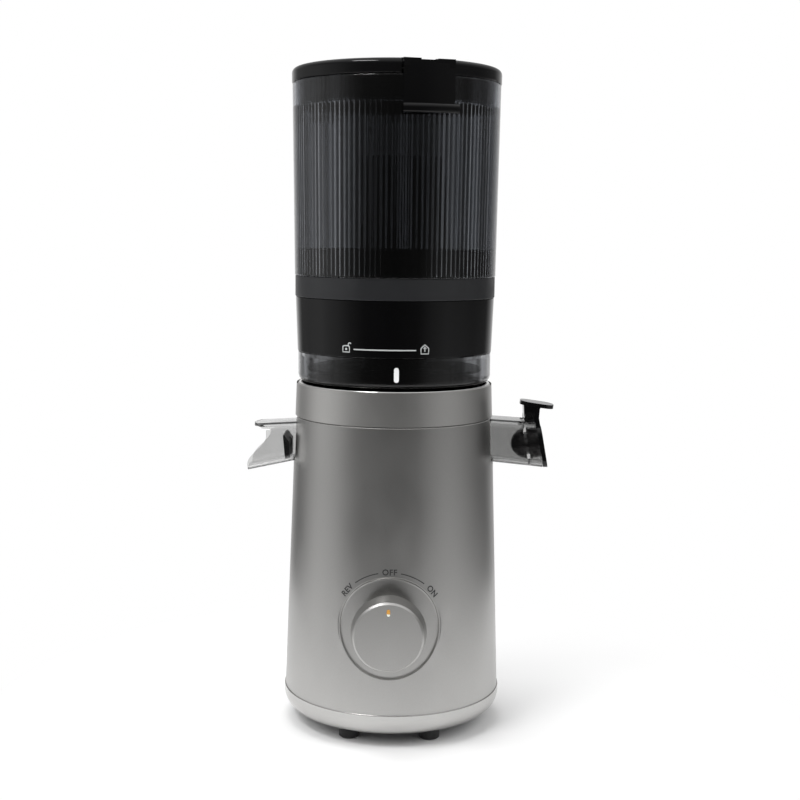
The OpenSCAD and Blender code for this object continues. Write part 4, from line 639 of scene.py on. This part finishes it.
class JuicerSigns(bpy.types.PropertyGroup):
    """Sizes of the printed signs"""

    legend_radius: length_property("Legend radius", "From the dial's axis to the words", 38.5 * MM)
    legend_height: length_property("Legend height", "Height of the words' capitals", 3.8 * MM)
    lock_size: length_property("Lock size", "Width of a padlock sign", 5.2 * MM)
    line_width: length_property("Line width", "Width of the padlock signs' lines", 0.7 * MM)
    mark_width: length_property("Mark width", "Width of the alignment mark", 3.3 * MM)
    mark_height: length_property("Mark height", "Height of the alignment mark", 10 * MM)


class JuicerStage(bpy.types.PropertyGroup):
    """Camera and lamps"""

    lens: bpy.props.FloatProperty(
        name="Lens", description="Focal length", default=60.0, unit="CAMERA"
    )
    distance: length_property("Distance", "From the camera to the juicer's axis", 0.949)
    height: length_property("Height", "Camera above the floor", 0.35)
    tilt: bpy.props.FloatProperty(
        name="Tilt",
        description="How far the camera looks down",
        default=math.radians(7.12),
        subtype="ANGLE",
    )
    key: lamp_property("Key", "left lamp", 7.0)
    fill: lamp_property("Fill", "right lamp", 5.0)
    top: lamp_property("Top", "upper lamp", 10.0)
    ceiling: lamp_property("Ceiling", "small lamp that shows in glossy surfaces", 6.0)


GROUPS = {
    "juicer_finishes": JuicerFinishes,
    "juicer_signs": JuicerSigns,
    "juicer_stage": JuicerStage,
}


def settings(group):
    return getattr(bpy.context.scene, group)


# ---------------------------------------------------------------- operators


class JUICER_OT_stand(bpy.types.Operator):
    """Finish the silver stand, its trim, its feet and the collar"""

    bl_idname = "juicer.stand"
    bl_label = "Stand"

    def execute(self, context):
        colors = settings("juicer_finishes")
        dress(["body_shell"], satin_metal("satin_silver", colors.silver, 0.34))
        dress(["silver_collar"], satin_metal("collar_silver", colors.collar, 0.38))
        dress(["base_trim"], polished_metal("polished_silver", colors.trim, 0.2))
        dress(["feet", "deck_seal", "cord_gland"], rubber("black_rubber", (0.02, 0.02, 0.02)))
        moulding = plastic("black_moulding", (0.015, 0.015, 0.016), 0.5)
        dress(["base_plate", "deck", "rotary_switch"], moulding)
        return {"FINISHED"}


class JUICER_OT_dial(bpy.types.Operator):
    """Finish the dial and its pointer mark"""

    bl_idname = "juicer.dial"
    bl_label = "Dial"

    def execute(self, context):
        orange, pale = (0.62, 0.3, 0.05), (0.75, 0.78, 0.68)
        tip_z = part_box("knob_marker")[0].z + POINTER_TIP
        dress(["knob"], metal("turned_silver", settings("juicer_finishes").silver, 0.4))
        dress(["knob_marker"], pointer_finish("pointer_orange", orange, pale, tip_z))
        dress(["knob_shaft"], metal("turned_steel", (0.55, 0.55, 0.56), 0.25))
        return {"FINISHED"}


class JUICER_OT_drive(bpy.types.Operator):
    """Finish the motor, the gearbox and the electronics inside the stand"""

    bl_idname = "juicer.drive"
    bl_label = "Motor and gearbox"

    def execute(self, context):
        steel = metal("drawn_steel", STEEL, 0.32, grain=0.6 * MM, stretch=(1, 1, 8))
        dress(["motor_can", "motor_end_bell", "bearings", "motor_pinion"], steel)
        dress(["lay_pin", "drive_shaft", "drive_socket", "frame_posts"], steel)
        dress(["plate_screws", "cover_screws", "board_screws"], steel)
        stack = metal("sheet_stack", (0.3, 0.3, 0.31), 0.42, grain=0.5 * MM, stretch=(40, 40, 1))
        dress(["stator", "rotor"], stack)
        dress(["windings"], metal("enamelled_wire", (0.62, 0.26, 0.12), 0.3, grain=0.8 * MM))
        gearbox = plastic("gearbox_grey", (0.07, 0.07, 0.075), 0.45)
        dress(["gearbox_case", "gearbox_cover"], gearbox)
        dress(["lay_gear", "output_gear"], plastic("white_nylon", (0.72, 0.7, 0.63), 0.4))
        dress(["cooling_fan"], plastic("fan_black", (0.02, 0.02, 0.022), 0.4))
        dress(["control_board"], plastic("lacquered_board", (0.02, 0.12, 0.05), 0.3, coat=0.5))
        return {"FINISHED"}


class JUICER_OT_bowl(bpy.types.Operator):
    """Finish the clear bowl, the strainer, the screw and both spouts"""

    bl_idname = "juicer.bowl"
    bl_label = "Bowl and spouts"

    def execute(self, context):
        colors = settings("juicer_finishes")
        bowl = streaky_plastic_painted_sides("clear_bowl", colors.bowl, BOWL_PAINTED_SIDE_LIGHT, BOWL_STREAKS)
        dress(["bowl", "bowl_floor"], bowl)
        dress(["juice_spout"], clear_plastic("clear_juice_spout", colors.clear))
        dress(["pulp_spout"], clear_plastic("clear_pulp_spout", colors.pale))
        strainer = plastic("strainer_black", (0.004, 0.004, 0.0045), 0.3, specular=0.3)
        dress(["strainer", "auger_screw"], strainer)
        silicone = rubber("grey_silicone", (0.12, 0.12, 0.125), 0.5)
        dress(["bowl_seal", "hopper_seal"], silicone)
        dress(["pulp_flap"], rubber("flap_rubber", (0.005, 0.005, 0.005), 0.45))
        plug = plastic("plug_silicone", (0.012, 0.012, 0.012), 0.16, specular=0.9)
        dress(["cap_plug"], plug)
        dress(["juice_cap", "cap_pin"], plastic("cap_black", colors.black, 0.14, specular=0.4))
        return {"FINISHED"}


class JUICER_OT_hopper(bpy.types.Operator):
    """Finish the skirt, the band, the lid and the latch"""

    bl_idname = "juicer.hopper"
    bl_label = "Hopper and lid"

    def execute(self, context):
        colors = settings("juicer_finishes")
        gloss = plastic(
            "gloss_black", colors.black, 0.1, grain=1 * MM, depth=0.002 * MM, specular=0.28
        )
        dress(["hopper_skirt", "lid", "lid_latch", "hinge_bracket"], gloss)
        dress(["hopper_band"], plastic("satin_band", colors.band, 0.42))
        inner = plastic("inner_black", (0.002, 0.002, 0.0024), 0.35, specular=0.12)
        dress(["hopper_floor", "cutting_wing"], inner)
        dress(["lid_pin", "latch_pin", "latch_spring"], metal("hinge_steel", STEEL, 0.25))
        return {"FINISHED"}


class JUICER_OT_fluted_tube(bpy.types.Operator):
    """Build the smoky tube with fine upright flutes on its inside"""

    bl_idname = "juicer.fluted_tube"
    bl_label = "Fluted tube"

    def execute(self, context):
        profile = self.profile()
        sections = []
        for angle in turns(FLUTES * FLUTE_STEPS):
            uneven = math.sin(13 * angle) * math.sin(7 * angle + 1)
            depth = FLUTE_DEPTH * (1 - FLUTE_UNEVEN + FLUTE_UNEVEN * uneven)
            flute = depth * (1 - math.cos(FLUTES * angle)) / 2
            section = []
            for z, radius, fluted in profile:
                section.append((*polar(radius - flute if fluted else radius, angle), z))
            sections.append(section)
        smoke = settings("juicer_finishes").smoke
        finish = streaky_plastic_painted_sides("smoky_hopper", smoke, HOPPER_PAINTED_SIDE_LIGHT, HOPPER_STREAKS)
        tube = mesh_piece("fluted_tube", *skin(sections, closed=True), finish)
        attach(tube, "hopper")
        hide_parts("hopper_tube")
        return {"FINISHED"}

    def profile(self):
        """The wall's section, up its outside and down its inside, as (z, radius, fluted or not)."""
        low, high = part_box("hopper_tube")
        bottom, top = low.z, high.z
        plain = top - PLUG_ROOM
        outer = radius_between("hopper_tube")

        def ring(z, inset=0.0, fluted=False):
            return z, outer(z) - inset, fluted

        return [
            ring(bottom, TUBE_EDGE),
            ring(bottom + TUBE_EDGE),
            ring(bottom + TUBE_LOOP),
            ring(top - TUBE_LOOP),
            ring(top - TUBE_EDGE),
            ring(top, TUBE_EDGE),
            ring(top, TUBE_WALL - TUBE_EDGE),
            (top - TUBE_EDGE, outer(top) - TUBE_WALL, False),
            ring(top - TUBE_LOOP, TUBE_WALL),
            ring(plain, TUBE_WALL),
            ring(plain - TUBE_EDGE, TUBE_WALL),
            ring(plain - TUBE_LOOP, TUBE_WALL, fluted=True),
            ring(plain - 2 * TUBE_LOOP, TUBE_WALL, fluted=True),
            ring(bottom + 3 * TUBE_LOOP, TUBE_WALL, fluted=True),
            ring(bottom + 2 * TUBE_LOOP, TUBE_WALL, fluted=True),
            ring(bottom + TUBE_LOOP, TUBE_WALL),
            (bottom + TUBE_EDGE, outer(bottom) - TUBE_WALL, False),
            ring(bottom, TUBE_WALL - TUBE_EDGE),
        ]


class JUICER_OT_collar_bead(bpy.types.Operator):
    """Run a fine polished bead round the collar's top edge, in a paler silver that paints a highlight
    line along it
    """

    bl_idname = "juicer.collar_bead"
    bl_label = "Collar bead"

    def execute(self, context):
        middle_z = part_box("silver_collar")[1].z - BEAD_SINK
        sections = []
        for angle in turns(BEAD_AROUND):
            section = []
            for round_bead in turns(BEAD_ACROSS):
                out, up = polar(BEAD_THICK, round_bead)
                section.append((*polar(BEAD_RADIUS + out, angle), middle_z + up))
            sections.append(section)
        # Paler than the collar's silver: a painted highlight along the top edge, on top of what the
        # polished bead reflects
        silver = polished_metal("bead_silver", (0.8, 0.8, 0.79), 0.12)
        bead = mesh_piece("collar_bead", *skin(sections, closed=True), silver)
        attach(bead, "base")
        return {"FINISHED"}


class JUICER_OT_dial_legends(bpy.types.Operator):
    """Print REV, OFF and ON round the dial, with thin arcs between them"""

    bl_idname = "juicer.dial_legends"
    bl_label = "Dial legends"

    def execute(self, context):
        signs = settings("juicer_signs")
        shift = Vector((0, signs.legend_radius))
        shapes = []
        for word, degrees in LEGENDS:
            corners, faces = letters(word, signs.legend_height)
            turn = Matrix.Rotation(math.radians(degrees), 2)
            shapes.append(([tuple(turn @ (Vector(c) + shift)) for c in corners], faces))
        for start, end in LEGEND_ARCS:
            line = arc((0, 0), signs.legend_radius, start, end, LEGEND_STEPS)
            shapes.append(stroke(line, LEGEND_LINE))
        dark = ink("dark_print", settings("juicer_finishes").print_dark)
        legends = printed("dial_legends", shapes, dial_z(), radius_between("body_shell"), dark)
        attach(legends, "base")
        return {"FINISHED"}


class JUICER_OT_dial_edge(bpy.types.Operator):
    """Round off the edge of the recess round the dial, so that it catches the light"""

    bl_idname = "juicer.dial_edge"
    bl_label = "Dial edge"

    def execute(self, context):
        middle_z = dial_z()
        wall = radius_between("body_shell")
        sections = []
        for angle in turns(DIAL_EDGE_AROUND):
            section = []
            for reach, lift in DIAL_EDGE:
                u, v = polar(reach * MM, angle)
                section += on_cone([(u, middle_z + v)], wall, lift * MM)
            sections.append(section)
        silver = satin_metal("edge_silver", settings("juicer_finishes").silver, 0.34)
        edge = mesh_piece("dial_edge", *skin(sections, closed=False), silver)
        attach(edge, "base")
        return {"FINISHED"}


class JUICER_OT_lock_signs(bpy.types.Operator):
    """Print an open and a closed padlock on the skirt, with a line between them"""

    bl_idname = "juicer.lock_signs"
    bl_label = "Lock signs"

    def execute(self, context):
        signs = settings("juicer_signs")
        half, line = signs.lock_size / 2, signs.line_width
        wall = radius_between("hopper_skirt")
        middle_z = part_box("hopper_skirt")[0].z + LOCKS_RISE
        open_u = math.radians(OPEN_LOCK_TURN) * wall(middle_z)
        closed_u = math.radians(CLOSED_LOCK_TURN) * wall(middle_z)
        start, length = open_u + LINE_START, closed_u - LINE_STOP - open_u - LINE_START
        between = [(start + length * i / LINE_STEPS, -0.1 * half) for i in range(LINE_STEPS + 1)]
        shapes = aside(open_u, open_lock(half, line)) + aside(closed_u, closed_lock(half, line))
        shapes.append(stroke(between, LINE_WEIGHT * line))
        light = ink("light_print", settings("juicer_finishes").print_light)
        locks = printed("lock_signs", shapes, middle_z, wall, light, lift=LOCK_INK_LIFT)
        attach(locks, "hopper")
        return {"FINISHED"}


class JUICER_OT_alignment_mark(bpy.types.Operator):
    """Print the white mark on the bowl that the padlocks are turned to"""

    bl_idname = "juicer.alignment_mark"
    bl_label = "Alignment mark"

    def execute(self, context):
        signs = settings("juicer_signs")
        end = signs.mark_width / 2
        reach = signs.mark_height / 2 - end
        outline = arc((0, reach), end, 0, 180, 12) + arc((0, -reach), end, 180, 360, 12)
        bowl_radius = max(math.hypot(p.x, p.y) for p in node_points("bowl"))
        mark = printed(
            "alignment_mark",
            [filled(outline)],
            MARK_Z,
            lambda z: bowl_radius,
            ink("white_print", (0.85, 0.86, 0.86)),
            turn=math.radians(MARK_TURN),
        )
        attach(mark, "base")
        return {"FINISHED"}


class JUICER_OT_stage(bpy.types.Operator):
    """Set up the floor, the lamps, the background and the camera"""

    bl_idname = "juicer.stage"
    bl_label = "Stage"

    def execute(self, context):
        self.make_floor()
        self.make_world()
        for lamp in LAMPS:
            self.make_lamp(*lamp)
        self.make_camera()
        return {"FINISHED"}

    def make_floor(self):
        points = [(*polar(FLOOR_RADIUS, angle), 0) for angle in turns(FLOOR_CORNERS)]
        whole = [tuple(range(FLOOR_CORNERS))]
        floor = mesh_piece("floor", points, whole, floor_finish(), smooth=False)

    def make_lamp(self, name, setting, place, target, size, in_gloss):
        data = bpy.data.lights.new(name, "AREA")
        data.shape = "RECTANGLE"
        data.size, data.size_y = size
        data.energy = getattr(settings("juicer_stage"), setting)
        lamp = bpy.data.objects.new(name, data)
        lamp.visible_glossy = in_gloss
        lamp.visible_transmission = False
        lamp.location = place
        aim = Vector(target) - Vector(place)
        lamp.rotation_euler = aim.to_track_quat("-Z", "Y").to_euler()
        bpy.context.scene.collection.objects.link(lamp)

    def make_world(self):
        """White to the eye; glossy surfaces show the room, and matt ones get an even light."""
        world = bpy.data.worlds.new("plain_studio")
        bpy.context.scene.world = world
        world.use_nodes = True
        made = Nodes(world.node_tree)
        ray = made.node("LightPath").outputs
        direction = made.split("Generated")
        ahead = made.math("MULTIPLY", direction["Y"], -1)
        azimuth = made.math("ARCTAN2", direction["X"], ahead)
        turn = made.ranged(azimuth, -math.pi, math.pi)

        def round_about(table):
            return made.ramp(turn, [((degrees + 180) / 360, level) for degrees, level in table])

        def past(axis, limits):
            return made.ranged(direction[axis], *limits, interpolation_type="SMOOTHSTEP")

        room = made.choose(past("Z", HORIZON), round_about(ROOM_BELOW), round_about(ROOM))
        room = made.choose(past("Z", ABOVE), room, ROOM_ABOVE)
        room = made.choose(past("Z", OVERHEAD), room, WHITE)
        through = made.choose(past("Y", REAR), room, WHITE)
        level = made.choose(ray["Is Glossy Ray"], ROOM_DIFFUSE, room)
        level = made.choose(ray["Is Transmission Ray"], level, through)
        level = made.choose(ray["Is Camera Ray"], level, WHITE)
        background = world.node_tree.nodes["Background"]
        background.inputs["Color"].default_value = (1, 1, 1, 1)
        made.feed(background.inputs["Strength"], level)

    def make_camera(self):
        scene = bpy.context.scene
        stage = settings("juicer_stage")
        level = Vector((-math.sin(CAMERA_TURN), math.cos(CAMERA_TURN), 0))
        right = Vector((math.cos(CAMERA_TURN), math.sin(CAMERA_TURN), 0))
        ahead = level * math.cos(stage.tilt) - Vector((0, 0, math.sin(stage.tilt)))
        up = right.cross(ahead)
        image_right = right * math.cos(CAMERA_ROLL) + up * math.sin(CAMERA_ROLL)
        image_up = up * math.cos(CAMERA_ROLL) - right * math.sin(CAMERA_ROLL)
        data = bpy.data.cameras.new("camera")
        data.lens = stage.lens
        data.sensor_width = SENSOR_WIDTH
        camera = bpy.data.objects.new("camera", data)
        rows = Matrix((image_right, image_up, -ahead)).transposed().to_4x4()
        offset = right * CAMERA_OFFSET + Vector((0, 0, stage.height))
        rows.translation = -level * stage.distance + offset
        camera.matrix_world = rows
        scene.collection.objects.link(camera)
        scene.camera = camera
        scene.view_settings.view_transform = "Standard"


PIECE_OPERATORS = (
    JUICER_OT_stand,
    JUICER_OT_dial,
    JUICER_OT_drive,
    JUICER_OT_bowl,
    JUICER_OT_hopper,
    JUICER_OT_fluted_tube,
    JUICER_OT_collar_bead,
    JUICER_OT_dial_legends,
    JUICER_OT_dial_edge,
    JUICER_OT_lock_signs,
    JUICER_OT_alignment_mark,
    JUICER_OT_stage,
)


class JUICER_PT_panel(bpy.types.Panel):
    """Juicer pieces and settings"""

    bl_idname = "JUICER_PT_panel"
    bl_label = "Cold Press Juicer"
    bl_space_type = "VIEW_3D"
    bl_region_type = "UI"
    bl_category = "Juicer"

    def draw(self, context):
        for operator in PIECE_OPERATORS:
            self.layout.operator(operator.bl_idname)
        for group in GROUPS:
            box = self.layout.box()
            for key in settings(group).bl_rna.properties.keys():
                if key not in ("rna_type", "name"):
                    box.prop(settings(group), key)


def register():
    for name, group in GROUPS.items():
        bpy.utils.register_class(group)
        setattr(bpy.types.Scene, name, bpy.props.PointerProperty(type=group))
    for operator in PIECE_OPERATORS:
        bpy.utils.register_class(operator)
    bpy.utils.register_class(JUICER_PT_panel)


def unregister():
    bpy.utils.unregister_class(JUICER_PT_panel)
    for operator in reversed(PIECE_OPERATORS):
        bpy.utils.unregister_class(operator)
    for name, group in GROUPS.items():
        delattr(bpy.types.Scene, name)
        bpy.utils.unregister_class(group)


def main():
    register()
    for operator in PIECE_OPERATORS:
        category, name = operator.bl_idname.split(".")
        getattr(getattr(bpy.ops, category), name)()


if __name__ == "__main__":
    main()
